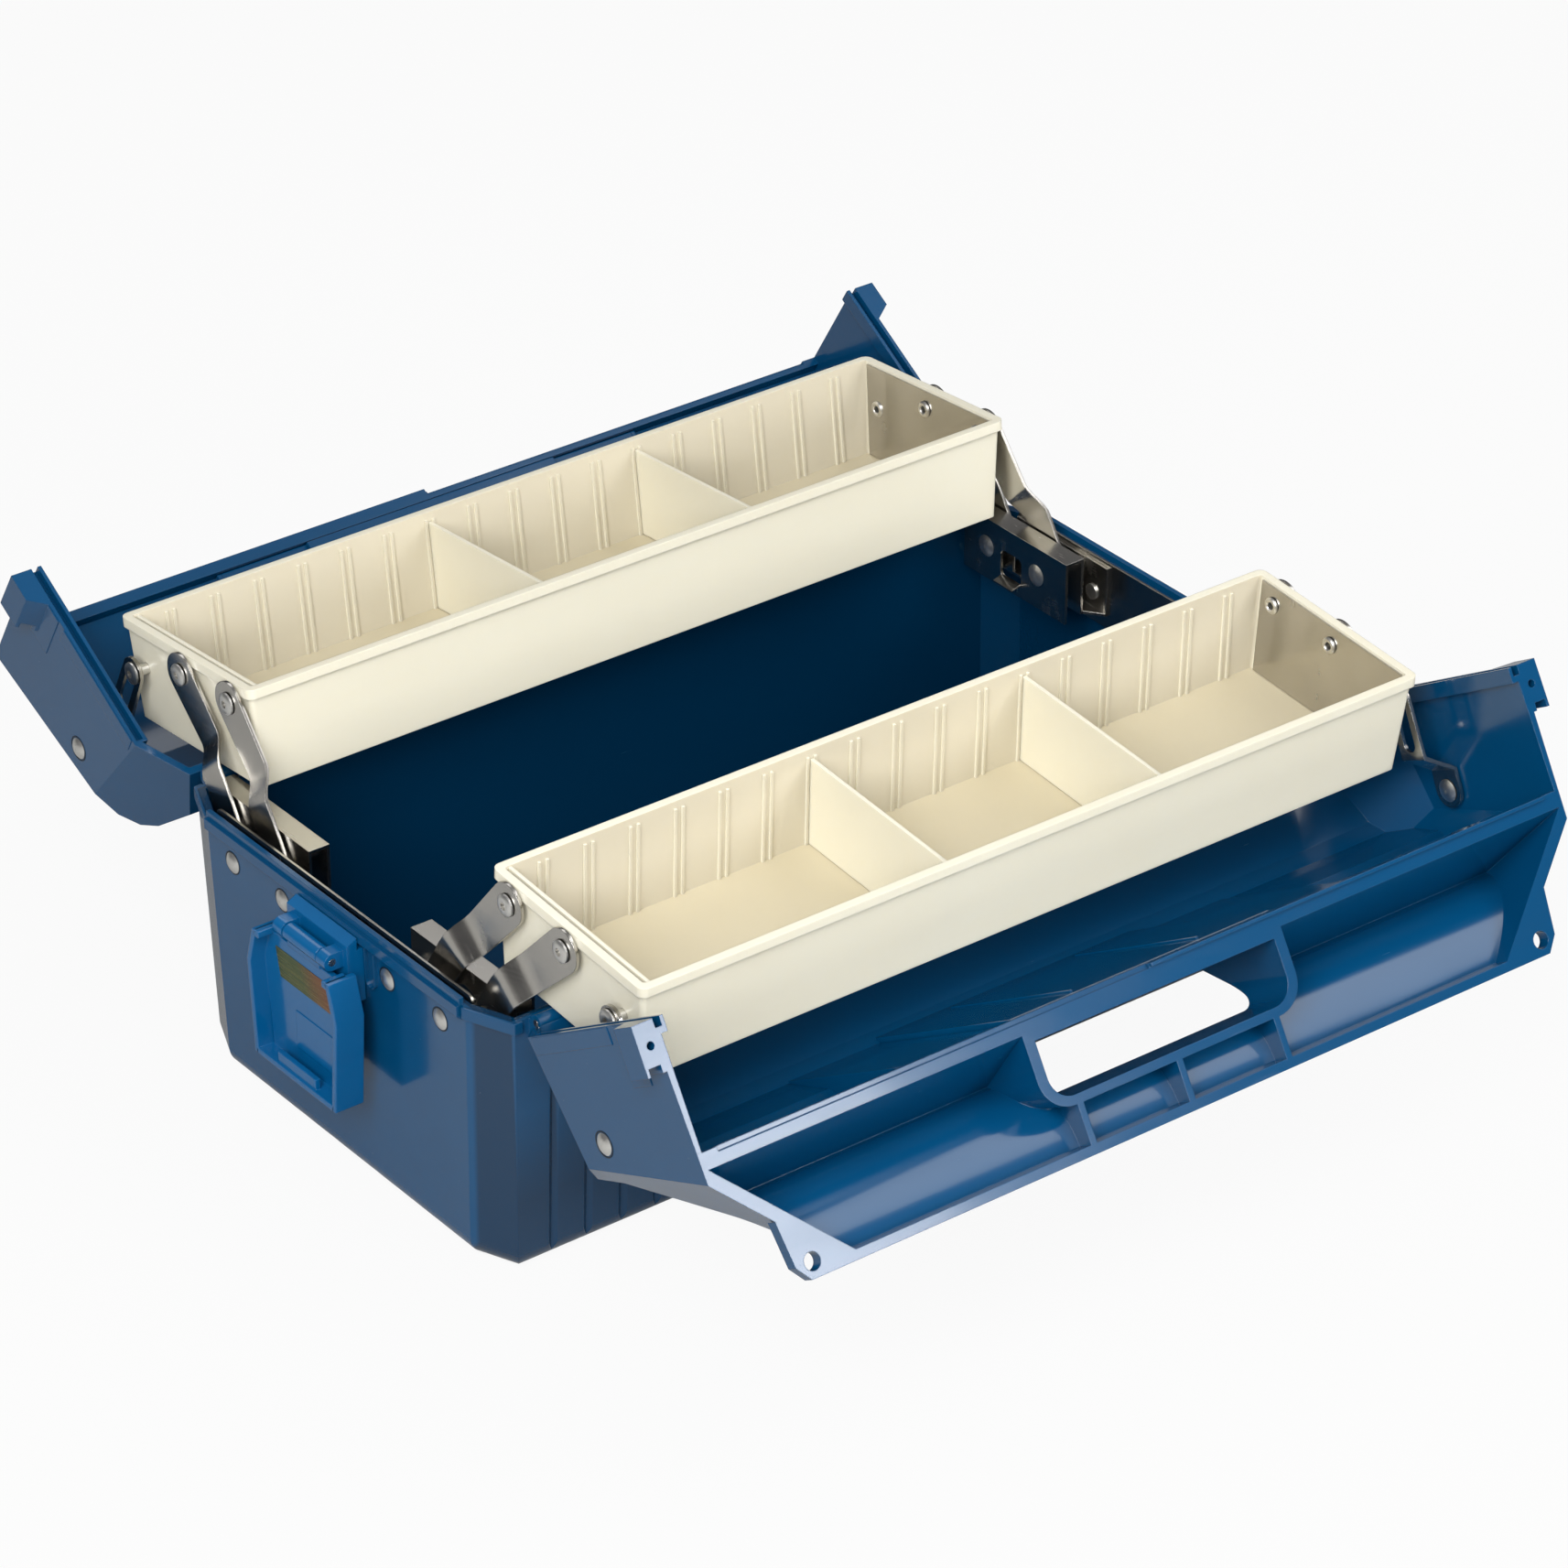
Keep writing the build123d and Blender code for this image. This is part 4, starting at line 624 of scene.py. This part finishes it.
def ease_edges(piece: bpy.types.Object, width: float) -> None:
    """Round a piece's sharp edges a little and smooth its shading.

    Args:
        piece: The piece.
        width: Width of the rounding, in millimetres.
    """
    if width > 0:
        bevel = piece.modifiers.new("ease", "BEVEL")
        bevel.width = width * MM
        bevel.segments = 2
        bevel.limit_method = "ANGLE"
        bevel.angle_limit = EASED_EDGE
        bevel.use_clamp_overlap = False
    shade = piece.modifiers.new("shade", "NODES")
    shade.node_group = soft_shading()
    weights = piece.modifiers.new("weights", "WEIGHTED_NORMAL")
    weights.keep_sharp = True


class Blank:
    """A mesh being made, in millimetres."""

    def __init__(self) -> None:
        """Start with nothing."""
        self.bm = bmesh.new()

    def block(self, low: Place, high: Place) -> Blank:
        """Add a box.

        Args:
            low: Its lowest corner.
            high: Its highest corner.

        Returns:
            The blank.
        """
        made = bmesh.ops.create_cube(self.bm, size=1.0)["verts"]
        bmesh.ops.scale(self.bm, vec=Vector(high) - Vector(low), verts=made)
        bmesh.ops.translate(self.bm, vec=(Vector(high) + Vector(low)) / 2, verts=made)
        return self

    def slab(self, corners: Sequence[Place], thickness: Place) -> Blank:
        """Add a flat outline, thickened along a direction.

        Args:
            corners: The outline, in order.
            thickness: The way and the distance it is thickened.

        Returns:
            The blank.
        """
        face = self.bm.faces.new([self.bm.verts.new(c) for c in corners])
        grown = bmesh.ops.extrude_face_region(self.bm, geom=[face])["geom"]
        moved = [v for v in grown if isinstance(v, bmesh.types.BMVert)]
        bmesh.ops.translate(self.bm, vec=Vector(thickness), verts=moved)
        return self

    def drawn(self, sections: Sequence[Sequence[Place]]) -> Blank:
        """Add a bar that is drawn out from section to section.

        Args:
            sections: Outlines with equally many corners, in order along the bar.

        Returns:
            The blank.
        """
        face = self.bm.faces.new([self.bm.verts.new(c) for c in sections[0]])
        for section in sections[1:]:
            face = bmesh.ops.extrude_discrete_faces(self.bm, faces=[face])["faces"][0]
            for vert, corner in zip(face.verts, section):
                vert.co = corner
        start = [edge for edge in self.bm.edges if edge.is_boundary]
        bmesh.ops.holes_fill(self.bm, edges=start, sides=len(sections[0]))
        return self

    def turned(self, profile: Sequence[Pair], centre: Place, axis: Place) -> Blank:
        """Add a turned piece.

        Args:
            profile: Pairs of distance along the axis and radius.
            centre: Where the axis starts.
            axis: The way it runs.

        Returns:
            The blank.
        """
        way = Vector(axis).normalized()
        side = way.orthogonal().normalized()
        points = [Vector(centre) + way * a + side * r for a, r in profile]
        verts = [self.bm.verts.new(p) for p in points]
        edges = [self.bm.edges.new(pair) for pair in zip(verts, verts[1:])]
        bmesh.ops.spin(self.bm, geom=verts + edges, cent=Vector(centre), axis=way, angle=math.tau,
                       steps=TURNED_SIDES, use_merge=True, use_duplicate=False)
        bmesh.ops.remove_doubles(self.bm, verts=self.bm.verts, dist=1e-4)
        return self

    def moved(self, matrix: Matrix) -> Blank:
        """Move everything made so far."""
        bmesh.ops.transform(self.bm, matrix=matrix, verts=self.bm.verts)
        return self

    def mirrored(self, x: int = 1, y: int = 1) -> Blank:
        """Mirror everything made so far across the middle planes, where a factor is -1."""
        return self.moved(Matrix.Diagonal((x, y, 1, 1)))

    def piece(self, name: str, body: str, finish: Finish, edge: float = 0.3) -> bpy.types.Object:
        """Turn the blank into a piece of the object.

        Args:
            name: The piece's name.
            body: The CAD body it rides on.
            finish: Its finish.
            edge: Width of its eased edges, in millimetres.

        Returns:
            The piece.
        """
        bmesh.ops.scale(self.bm, vec=Vector((MM, MM, MM)), verts=self.bm.verts)
        bmesh.ops.recalc_face_normals(self.bm, faces=self.bm.faces)
        mesh = bpy.data.meshes.new(name)
        self.bm.to_mesh(mesh)
        self.bm.free()
        mesh.materials.append(finish.material())
        made = added(name, mesh)
        ease_edges(made, edge)
        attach(made, body)
        log.info("made %s on %s", name, body)
        return made


def rivet_shadow_rings(name: str, body: str, places: Sequence[Place], radius: float, lean: Place) -> None:
    """Narrow dark rings of painted shadow round the heads of rivets in the end walls.

    Args:
        name: The piece's name.
        body: The body it rides on.
        places: Where the rivets' axes leave the walls.
        radius: Radius of the heads.
        lean: The right wall's outward direction, which the left one mirrors.
    """
    wide, sunk, out = 0.6, 0.3, 0.14
    profile = [(-sunk, radius), (out, radius), (out, radius + wide), (-sunk, radius + wide),
               (-sunk, radius)]
    rings = Blank()
    for place in places:
        sign = math.copysign(1, place[0])
        rings.turned(profile, place, (sign * lean[0], lean[1], lean[2]))
    # the dark finish is painted shadow round each head
    rings.piece(name, body, Finish.SEAT, edge=0.0)


# Sub-assemblies


@dataclass
class Body:
    """Moulded details of the body shell, given at the right end and the back side."""

    rim_x: float = 197.0
    rim_y: float = 103.0
    corner: Pair = (8.0, 19.0)  # what the cut takes off along X and Y
    band_height: float = 5.0
    band_out: float = 1.1
    band_sink: float = 0.6
    band_lap: float = 0.3
    band_start: float = 82.4  # its end on the end wall
    band_run: float = 3.0
    guide_at: float = 24.5
    guide_half: float = 2.4
    guide_wall: float = 0.7
    guide_top: float = 105.5
    guide_foot: float = 92.5
    guide_out: float = 1.6
    guide_sink: float = 0.4
    guide_steps: int = 10
    rivets: tuple[float, ...] = (-67.5, -34.1, 34.1, 67.5)
    rivet_place: Pair = (196.73, 97.9)  # X and Z where their axes leave the wall
    rivet_radius: float = 4.2
    rivet_lean: Place = (1.0, 0.0, -0.02)

    def build(self) -> None:
        """Make the body's details."""
        self.corner_bands()
        self.guide_ribs()
        x, z = self.rivet_place
        places = [(sign * x, y, z) for sign in (-1, 1) for y in self.rivets]
        # dark rings of painted shadow round the body's rivet heads
        rivet_shadow_rings("body_rivet_shadow_rings", "body", places, self.rivet_radius, self.rivet_lean)

    def corner_bands(self) -> None:
        """Raised band round each cut corner, just under the rim."""
        x, y, out, sunk = self.rim_x, self.rim_y, self.band_out, self.band_sink
        cx, cy = self.corner
        nx, ny = cy / math.hypot(cx, cy), cx / math.hypot(cx, cy)
        outer = [(x + out, self.band_start), (x + out, y - cy + out * (1 - nx) / ny),
                 (x - cx + out * (1 - ny) / nx, y + out), (x - cx - self.band_run, y + out)]
        inner = [(x - cx - self.band_run, y - sunk), (x - cx - self.band_lap, y - sunk),
                 (x - sunk, y - cy - self.band_lap), (x - sunk, self.band_start)]
        outline = [(a, b, BODY_HEIGHT - self.band_height) for a, b in outer + inner]
        for end, sign_x in LEFT_RIGHT:
            for side, sign_y in FRONT_BACK:
                band = Blank().slab(outline, (0, 0, self.band_height)).mirrored(sign_x, sign_y)
                band.piece(f"corner_band_{end}_{side}", "body", Finish.BLUE, edge=0.4)

    def end_wall(self, z: float) -> float:
        """X of the right end wall's face at a height."""
        return self.rim_x - WALL_LEAN / BODY_HEIGHT * (BODY_HEIGHT - z)

    def guide_ribs(self) -> None:
        """Thin rib with a round foot on each end wall, beside the latch."""
        y, near, far = self.guide_at, self.guide_half, self.guide_half + self.guide_wall
        angles = [math.pi * (1 + n / self.guide_steps) for n in range(self.guide_steps + 1)]
        arc, ring = ([(y + radius * math.cos(a), self.guide_foot + radius * math.sin(a))
                      for a in angles] for radius in (near, far))
        line = [(y - near, self.guide_top), *arc, (y + near, self.guide_top),
                (y + far, self.guide_top), *reversed(ring), (y - far, self.guide_top)]
        outline = [(self.end_wall(b) - self.guide_sink, a, b) for a, b in line]
        for end, sign in LEFT_RIGHT:
            rib = Blank().slab(outline, (self.guide_sink + self.guide_out, 0, 0))
            rib.mirrored(sign, sign).piece(f"guide_rib_{end}", "body", Finish.BLUE, edge=0.2)


@dataclass
class Latch:
    """Lever of one latch, given on the right end, hanging down."""

    end: str
    sign: int
    pin: Pair = (209.0, 101.0)
    barrel_radius: float = 3.5
    barrel_half: float = 10.7
    bore: float = 1.6
    neck: Box = ((207.5, -10.7, 95.4), (210.6, 10.7, 98.6))
    panel_run: Pair = (207.5, 210.0)
    panel: Outline = ((23.6, 44.5), (27.2, 83.0), (23.4, 96.0))  # half widths and heights
    side_run: Pair = (204.0, 216.5)
    side: Outline = ((25.0, 98.0), (29.4, 83.0), (26.6, 43.5), (24.0, 43.5), (26.8, 82.6),
                     (22.4, 98.0))
    cap: Box = ((207.0, 20.4, 95.2), (216.5, 24.0, 98.0))
    ledge: Box = ((204.0, -25.6, 43.5), (216.5, 25.6, 46.1))
    lip: Box = ((213.2, -12.5, 44.5), (215.6, 12.5, 50.5))
    insert: Box = ((209.9, -19.0, 53.0), (210.35, 7.0, 69.0))

    def build(self) -> None:
        """Make the lever and the rectangle in its panel."""
        self.lever()
        Blank().block(*self.insert).mirrored(self.sign, -self.sign).piece(
            f"latch_insert_{self.end}", f"{self.end}_latch", Finish.LATCH, edge=0.1)

    def lever(self) -> None:
        """The lever: a barrel, a panel with upright sides, and a ledge with a pull lip."""
        lever = Blank()
        x, z = self.pin
        long = 2 * self.barrel_half
        lever.turned([(0, self.bore), (0, self.barrel_radius), (long, self.barrel_radius),
                      (long, self.bore), (0, self.bore)], (x, -self.barrel_half, z), (0, 1, 0))
        lever.block(*self.neck)
        back, front = self.panel_run
        foot, *rest = self.panel
        corners = [(-foot[0], foot[1]), foot, *rest, *((-y, h) for y, h in reversed(rest))]
        lever.slab([(back, y, h) for y, h in corners], (front - back, 0, 0))
        back, front = self.side_run
        low, high = self.cap
        for way in (-1, 1):
            lever.slab([(back, way * y, h) for y, h in self.side], (front - back, 0, 0))
            near, far = sorted((way * low[1], way * high[1]))
            lever.block((low[0], near, low[2]), (high[0], far, high[2]))
        lever.block(*self.ledge).block(*self.lip)
        made = lever.mirrored(self.sign).piece(f"lever_{self.end}", f"{self.end}_latch",
                                               Finish.LATCH, edge=0.5)
        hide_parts(f"latch_lever_{self.end}")


@dataclass
class Lid:
    """Moulded details of one lid, given closed and on the back side."""

    side: str
    hinge: Pair = (107.2, 110.8)
    swing: float = 148.5
    lap: float = 0.3  # how far the step and ribs reach into what carries them
    pan_half: float = 102.0
    pan_foot: float = 162.3
    pan_wall: float = 2.0
    pan_inner: float = 3.9
    pan_outer: float = 91.0
    roof: Outline = ((91.0, 163.8), (66.6, 167.0), (35.0, 181.9), (3.9, 165.5))
    step_half: float = 60.3
    step_foot: float = 160.2
    step_outer: float = 93.2
    rib_at: float = 29.2
    rib_foot: float = 159.4
    rib_wide: float = 1.6
    rib_run: Pair = (8.0, 86.0)
    wall_x: float = 200.2
    wall_lean: float = 0.02
    wall_foot: float = 112.0
    wall_out: float = 0.4
    wall_sink: float = 0.5
    wall_steps: tuple[Place, Place] = ((29.0, 82.0, 118.6), (12.6, 25.0, 134.6))  # Y, Y and top
    rivet: Place = (199.37, 170.83, 100.18)  # where a link's rivet leaves the open lid's wall
    rivet_radius: float = 4.55
    rivet_lean: Place = (1.0, 0.01, -0.017)

    def opened(self) -> Matrix:
        """From the closed lid on the back side to this lid, open."""
        turn = hung(self.hinge, -self.swing, self.hinge)
        return turn if self.side == "back" else Matrix.Rotation(math.pi, 4, "Z") @ turn

    def fit(self, blank: Blank, name: str, edge: float = 0.3) -> None:
        """Turn a blank, drawn on the closed lid, into a piece of this lid."""
        blank.moved(self.opened()).piece(name, f"{self.side}_lid", Finish.BLUE, edge)

    def build(self) -> None:
        """Make the lid's details."""
        self.pan()
        self.ribs()
        self.raise_walls()
        x, y, z = self.rivet
        out, along, up = self.rivet_lean
        way = 1 if self.side == "back" else -1
        # dark rings of painted shadow round the lid's rivet heads
        rivet_shadow_rings(f"lid_rivet_shadow_rings_{self.side}", f"{self.side}_lid",
                    [(sign * x, way * y, z) for sign in (-1, 1)],
                    self.rivet_radius, (out, way * along, up))

    def pan(self) -> None:
        """The flat pan under the grip, as seen from inside, with a lower step in its middle."""
        pan = Blank()
        gable = [(self.pan_inner, self.pan_foot), (self.pan_outer, self.pan_foot), *self.roof]
        half = self.pan_half - self.pan_wall
        for x in (-self.pan_half, half):
            pan.slab([(x, y, z) for y, z in gable], (self.pan_wall, 0, 0))
        pan.block((-half, self.pan_inner, self.pan_foot),
                  (half, self.pan_outer, self.pan_foot + self.pan_wall))
        self.fit(pan, f"lid_pan_{self.side}")
        step = Blank().block((-self.step_half, self.pan_inner, self.step_foot),
                             (self.step_half, self.step_outer, self.pan_foot + self.lap))
        self.fit(step, f"lid_pan_step_{self.side}", edge=0.6)

    def ribs(self) -> None:
        """Two low ribs across the step."""
        ribs = Blank()
        near, far = self.rib_run
        for x in (-self.rib_at, self.rib_at):
            ribs.block((x - self.rib_wide / 2, near, self.rib_foot),
                       (x + self.rib_wide / 2, far, self.step_foot + self.lap))
        self.fit(ribs, f"lid_pan_ribs_{self.side}", edge=0.5)

    def raise_walls(self) -> None:
        """Slightly raised areas at the foot of both end walls."""
        x, foot, sunk = self.wall_x, self.wall_foot, self.wall_sink
        for end, sign in LEFT_RIGHT:
            steps = Blank()
            for near, far, top in self.wall_steps:
                lean = self.wall_lean * (top - foot)
                corners = ((x, near, foot), (x, far, foot), (x - lean, far, top),
                           (x - lean, near, top))
                steps.slab([(a - sunk, b, c) for a, b, c in corners], (sunk + self.wall_out, 0, 0))
            self.fit(steps.mirrored(sign), f"lid_steps_{self.side}_{end}", edge=0.25)


@dataclass
class Tray:
    """Details of one tray, given level on the back side, from the middle of its rim."""

    side: str
    hole: Pair = (0.97, -8.55)  # Y and Z of the outer arms' pivot
    lip_at: float = 174.8
    lip_half: float = 42.75
    lip_thick: float = 1.6
    lip_height: float = 5.0
    lip_top: float = 0.6
    eyelet_x: float = 173.9
    # Y, Z and the X of the head's top
    eyelets: tuple[Place, ...] = ((0.97, -8.55, 183.6), (-32.23, -8.55, 183.6),
                                  (32.2, -18.5, 185.6))
    # distance along the axis and radius, from the end plate's inner face and from the head's top
    roll: Outline = ((0.48, 1.5), (0.05, 2.0), (0.0, 2.45), (0.15, 2.9), (0.6, 3.35), (1.2, 3.4),
                     (1.2, 2.2))
    head: Outline = ((-1.3, 2.2), (-1.3, 4.5), (-0.65, 4.35), (-0.12, 3.4), (0.0, 2.5),
                     (0.0, 1.5))

    def placed(self) -> Matrix:
        """From the level tray at the rim's middle to this tray, open."""
        turn = hung(TRAY_PIVOT, -TRAY_TILT, self.hole)
        return turn if self.side == "back" else Matrix.Diagonal((1, -1, 1, 1)) @ turn

    def build(self) -> None:
        """Make the tray's details."""
        self.end_lip()
        self.hollow_rivets()

    def end_lip(self) -> None:
        """Upright lip inside the near end, parallel to its wall."""
        lip = Blank().block((-self.lip_at, -self.lip_half, -self.lip_top - self.lip_height),
                            (-self.lip_at + self.lip_thick, self.lip_half, -self.lip_top))
        finish = Finish.IVORY if self.side == "back" else Finish.IVORY_FRONT
        lip.moved(self.placed()).piece(f"tray_end_lip_{self.side}", f"{self.side}_tray", finish)

    def hollow_rivets(self) -> None:
        """Hollow rivets with a rolled ring inside the tray and a head outside."""
        rivets = Blank()
        for sign in (-1, 1):
            for y, z, outside in self.eyelets:
                run = outside - self.eyelet_x
                profile = [*self.roll, *((run + a, r) for a, r in self.head), self.roll[0]]
                rivets.turned(profile, (sign * self.eyelet_x, y, z), (sign, 0, 0))
        made = rivets.moved(self.placed()).piece(
            f"tray_hollow_rivets_{self.side}", f"{self.side}_tray", Finish.RIVET,
            edge=0.0)
        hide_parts(f"tray_rivets_{self.side}")


@dataclass
class Bracket:
    """Bent tabs of one arm bracket, given at the right end and the back side."""

    end: str
    side: str
    sign_x: int
    sign_y: int
    sheet: float = 1.2
    window: Pair = (67.25, 5.9)  # its middle and half width along Y
    tab: Outline = ((176.6, 92.8), (176.6, 93.9), (171.6, 92.5), (171.4, 91.6))
    flange_foot: float = 88.0
    flange: Outline = ((176.3, 84.0), (176.3, 97.0), (189.6, 97.0), (184.4, 84.0))

    def build(self) -> None:
        """Make the tab under the window and the flange at the far end's foot."""
        middle, half = self.window
        tabs = Blank().slab([(x, middle - half, z) for x, z in self.tab], (0, 2 * half, 0))
        tabs.slab([(x, y, self.flange_foot) for x, y in self.flange], (0, 0, self.sheet))
        tabs.mirrored(self.sign_x, self.sign_y).piece(
            f"bracket_tabs_{self.end}_{self.side}", "body", Finish.STEEL, edge=0.2)


@dataclass
class Arm:
    """One swing arm as a smooth strap, given at the right end and the back side."""

    kind: str
    end: str
    side: str
    sign_x: int
    sign_y: int
    pivot: Pair
    tray_pivot: Pair
    elbow: Pair = (12.0, 19.0)  # from the pivot to the corner of the bend
    bend: float = 12.0
    radii: Place = (7.0, 7.6, 8.6)  # half widths at the pivot, in the middle and at the tray
    tip: float = 0.05
    sheet: float = 1.5
    faces: Pair = (186.0, 180.4)  # X of the inner face before and after the fold
    fold: Pair = (21.0, 35.0)  # the run over which it folds
    steps: int = 12

    def centre_line(self) -> list[Vector]:
        """Points along the middle of the strap, from pivot to pivot, round the elbow.

        Returns:
            The points, closest together in the bend.
        """
        start, end = Vector(self.pivot), Vector(self.tray_pivot)
        corner = start + Vector(self.elbow)
        near = corner + (start - corner).normalized() * self.bend
        far = corner + (end - corner).normalized() * self.bend
        shares = [n / self.steps for n in range(self.steps + 1)]
        curve = [near * (1 - t) ** 2 + corner * 2 * t * (1 - t) + far * t ** 2 for t in shares]
        return ([start.lerp(near, t) for t in shares[:-1:3]] + curve
                + [far.lerp(end, t) for t in shares[2::2]])

    def half_width(self, share: float) -> float:
        """Half the strap's width at a share of its length.

        Args:
            share: 0 at the pivot and 1 at the tray.

        Returns:
            The half width.
        """
        foot, middle, head = self.radii
        if share < 0.5:
            return foot + (middle - foot) * share * 2
        return middle + (head - middle) * (share * 2 - 1)

    def inner_face(self, run: float) -> float:
        """X of the strap's inner face, which the fold carries inwards.

        Args:
            run: Length along the strap from the pivot.

        Returns:
            The face's X.
        """
        low, high = self.faces
        first, last = self.fold
        t = min(max((run - first) / (last - first), 0.0), 1.0)
        return low + (high - low) * t * t * (3 - 2 * t)

    def round_end(self, point: Vector, way: Vector, radius: float, run: float,
                  sign: int) -> list[Station]:
        """Stations of a rounded end, outwards from its pivot.

        Args:
            point: The pivot.
            way: The strap's direction there.
            radius: The end's radius.
            run: Length along the strap at the pivot.
            sign: 1 where the end follows the strap's direction, and -1 where it goes back.

        Returns:
            The stations.
        """
        made = []
        for n in range(1, self.steps + 1):
            angle = math.pi / 2 * n / self.steps
            reach = sign * radius * math.sin(angle)
            made.append((point + way * reach, way, max(radius * math.cos(angle), self.tip),
                         run + reach))
        return made

    def stations(self) -> list[Station]:
        """The strap's stations, from end to end.

        Returns:
            The stations.
        """
        line = self.centre_line()
        ways = [(b - a).normalized() for a, b in zip(line, line[1:])]
        ways.append(ways[-1])
        runs = [0.0, *accumulate((b - a).length for a, b in zip(line, line[1:]))]
        strap = [(point, way, self.half_width(run / runs[-1]), run)
                 for point, way, run in zip(line, ways, runs)]
        foot, _, head = self.radii
        first = self.round_end(line[0], ways[0], foot, 0.0, -1)
        last = self.round_end(line[-1], ways[-1], head, runs[-1], 1)
        return [*reversed(first), *strap, *last]

    def build(self) -> None:
        """Make the strap in place of the CAD arm."""
        sections = []
        for point, way, half, run in self.stations():
            across = Vector((-way.y, way.x)) * half
            left, right = point + across, point - across
            inner = self.inner_face(run)
            outer = inner + self.sheet
            sections.append([(inner, *left), (inner, *right), (outer, *right), (outer, *left)])
        name = f"{self.kind}_{self.end}_{self.side}"
        made = Blank().drawn(sections).mirrored(self.sign_x, self.sign_y).piece(
            f"{name}_strap", f"{self.side}_{self.kind}s", Finish.STEEL, edge=0.25)
        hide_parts(name)


ARMS = (("outer_arm", (83.0, 102.5), TRAY_PIVOT),
        ("inner_arm", (51.5, 102.5), (89.605, 151.01)))


# Studio


@dataclass(frozen=True)
class Lamp:
    """One soft rectangular lamp, in metres and watts."""

    name: str
    place: Place
    size: Pair
    power: float
    target: Place = (0.0, 0.0, 0.1)

    def hang(self) -> None:
        """Hang the lamp, facing its target."""
        data = bpy.data.lights.new(self.name, "AREA")
        data.shape = "RECTANGLE"
        data.size, data.size_y = self.size
        data.energy = self.power
        lamp = added(self.name, data)
        lamp.location = self.place
        face_along(lamp, Vector(self.target) - Vector(self.place))


@dataclass
class Studio:
    """Floor, sky, lamps and camera."""

    azimuth: float = -37.44
    elevation: float = 30.61
    eye: Place = (-1253.86, -1650.07, 1319.0)
    focal_pixels: float = 6903.91
    photo_pixels: int = 1713
    sensor: float = 36.0
    clip: Pair = (0.1, 50.0)
    floor_half: float = 6.0
    floor_drop: float = 0.05
    sky: tuple[tuple[float, Colour], ...] = (
        (0.0, (0.14, 0.14, 0.14)),
        (0.06, (0.06, 0.06, 0.065)),
        (0.4, (0.1, 0.1, 0.105)),
        (0.75, (0.22, 0.22, 0.22)),
        (1.0, (0.3, 0.3, 0.3)),
    )
    lamps: tuple[Lamp, ...] = (
        Lamp("key", (-1.55, -1.25, 1.6), (1.6, 1.6), 75.0),
        Lamp("top", (1.2, -0.7, 1.6), (1.2, 1.2), 12.0),
        Lamp("front", (0.5, -1.95, 0.7), (0.9, 0.55), 20.0),
        Lamp("rear", (0.5, 1.5, 2.1), (1.4, 1.4), 8.0),
    )

    def camera(self) -> None:
        """Stand the camera where the photograph was taken."""
        data = bpy.data.cameras.new("camera")
        data.sensor_width = self.sensor
        data.lens = self.sensor * (self.focal_pixels / self.photo_pixels)
        data.clip_start, data.clip_end = self.clip
        camera = added("camera", data)
        camera.location = mm(*self.eye)
        azimuth, elevation = math.radians(self.azimuth), math.radians(self.elevation)
        back = Vector((math.sin(azimuth) * math.cos(elevation),
                       -math.cos(azimuth) * math.cos(elevation), math.sin(elevation)))
        face_along(camera, -back)
        bpy.context.scene.camera = camera

    def floor(self) -> None:
        """Lay a wide pale floor just under the box, white to the camera and with faint shadows."""
        blank = bmesh.new()
        bmesh.ops.create_grid(blank, x_segments=1, y_segments=1, size=self.floor_half)
        bmesh.ops.translate(blank, verts=blank.verts, vec=mm(0, 0, -self.floor_drop))
        mesh = bpy.data.meshes.new("floor")
        blank.to_mesh(mesh)
        blank.free()
        mesh.materials.append(StudioPaper("studio_paper").make())
        floor = added("floor", mesh)

    def dome(self) -> None:
        """Pale sky with a dark band above the horizon."""
        world = bpy.data.worlds.new("world")
        g = Graph(world)
        up = g.signal("TexCoord", "Generated").part("Z")
        sky = g.signal("ValToRGB", 0, {"stops": self.sky}, i0=up)
        g.node("OutputWorld", None, Surface=g.signal("Background", 0, None, Color=sky))
        bpy.context.scene.world = world

    def build(self) -> None:
        """Set up the whole studio."""
        bpy.context.scene.view_settings.view_transform = "Standard"
        self.camera()
        self.floor()
        self.dome()
        for lamp in self.lamps:
            lamp.hang()


def main() -> None:
    """Load the frame, dress it, add the details and build the studio."""
    logging.basicConfig(level=logging.INFO)
    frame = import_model()
    for node in sorted(frame["nodes"]):
        dress(node)
    Body().build()
    for end, sign in LEFT_RIGHT:
        Latch(end, sign).build()
    for side, sign_y in FRONT_BACK:
        Lid(side).build()
        Tray(side).build()
        for end, sign_x in LEFT_RIGHT:
            Bracket(end, side, sign_x, sign_y).build()
            for kind, pivot, tray_pivot in ARMS:
                Arm(kind, end, side, sign_x, sign_y, pivot, tray_pivot).build()
    Studio().build()


if __name__ == "__main__":
    main()
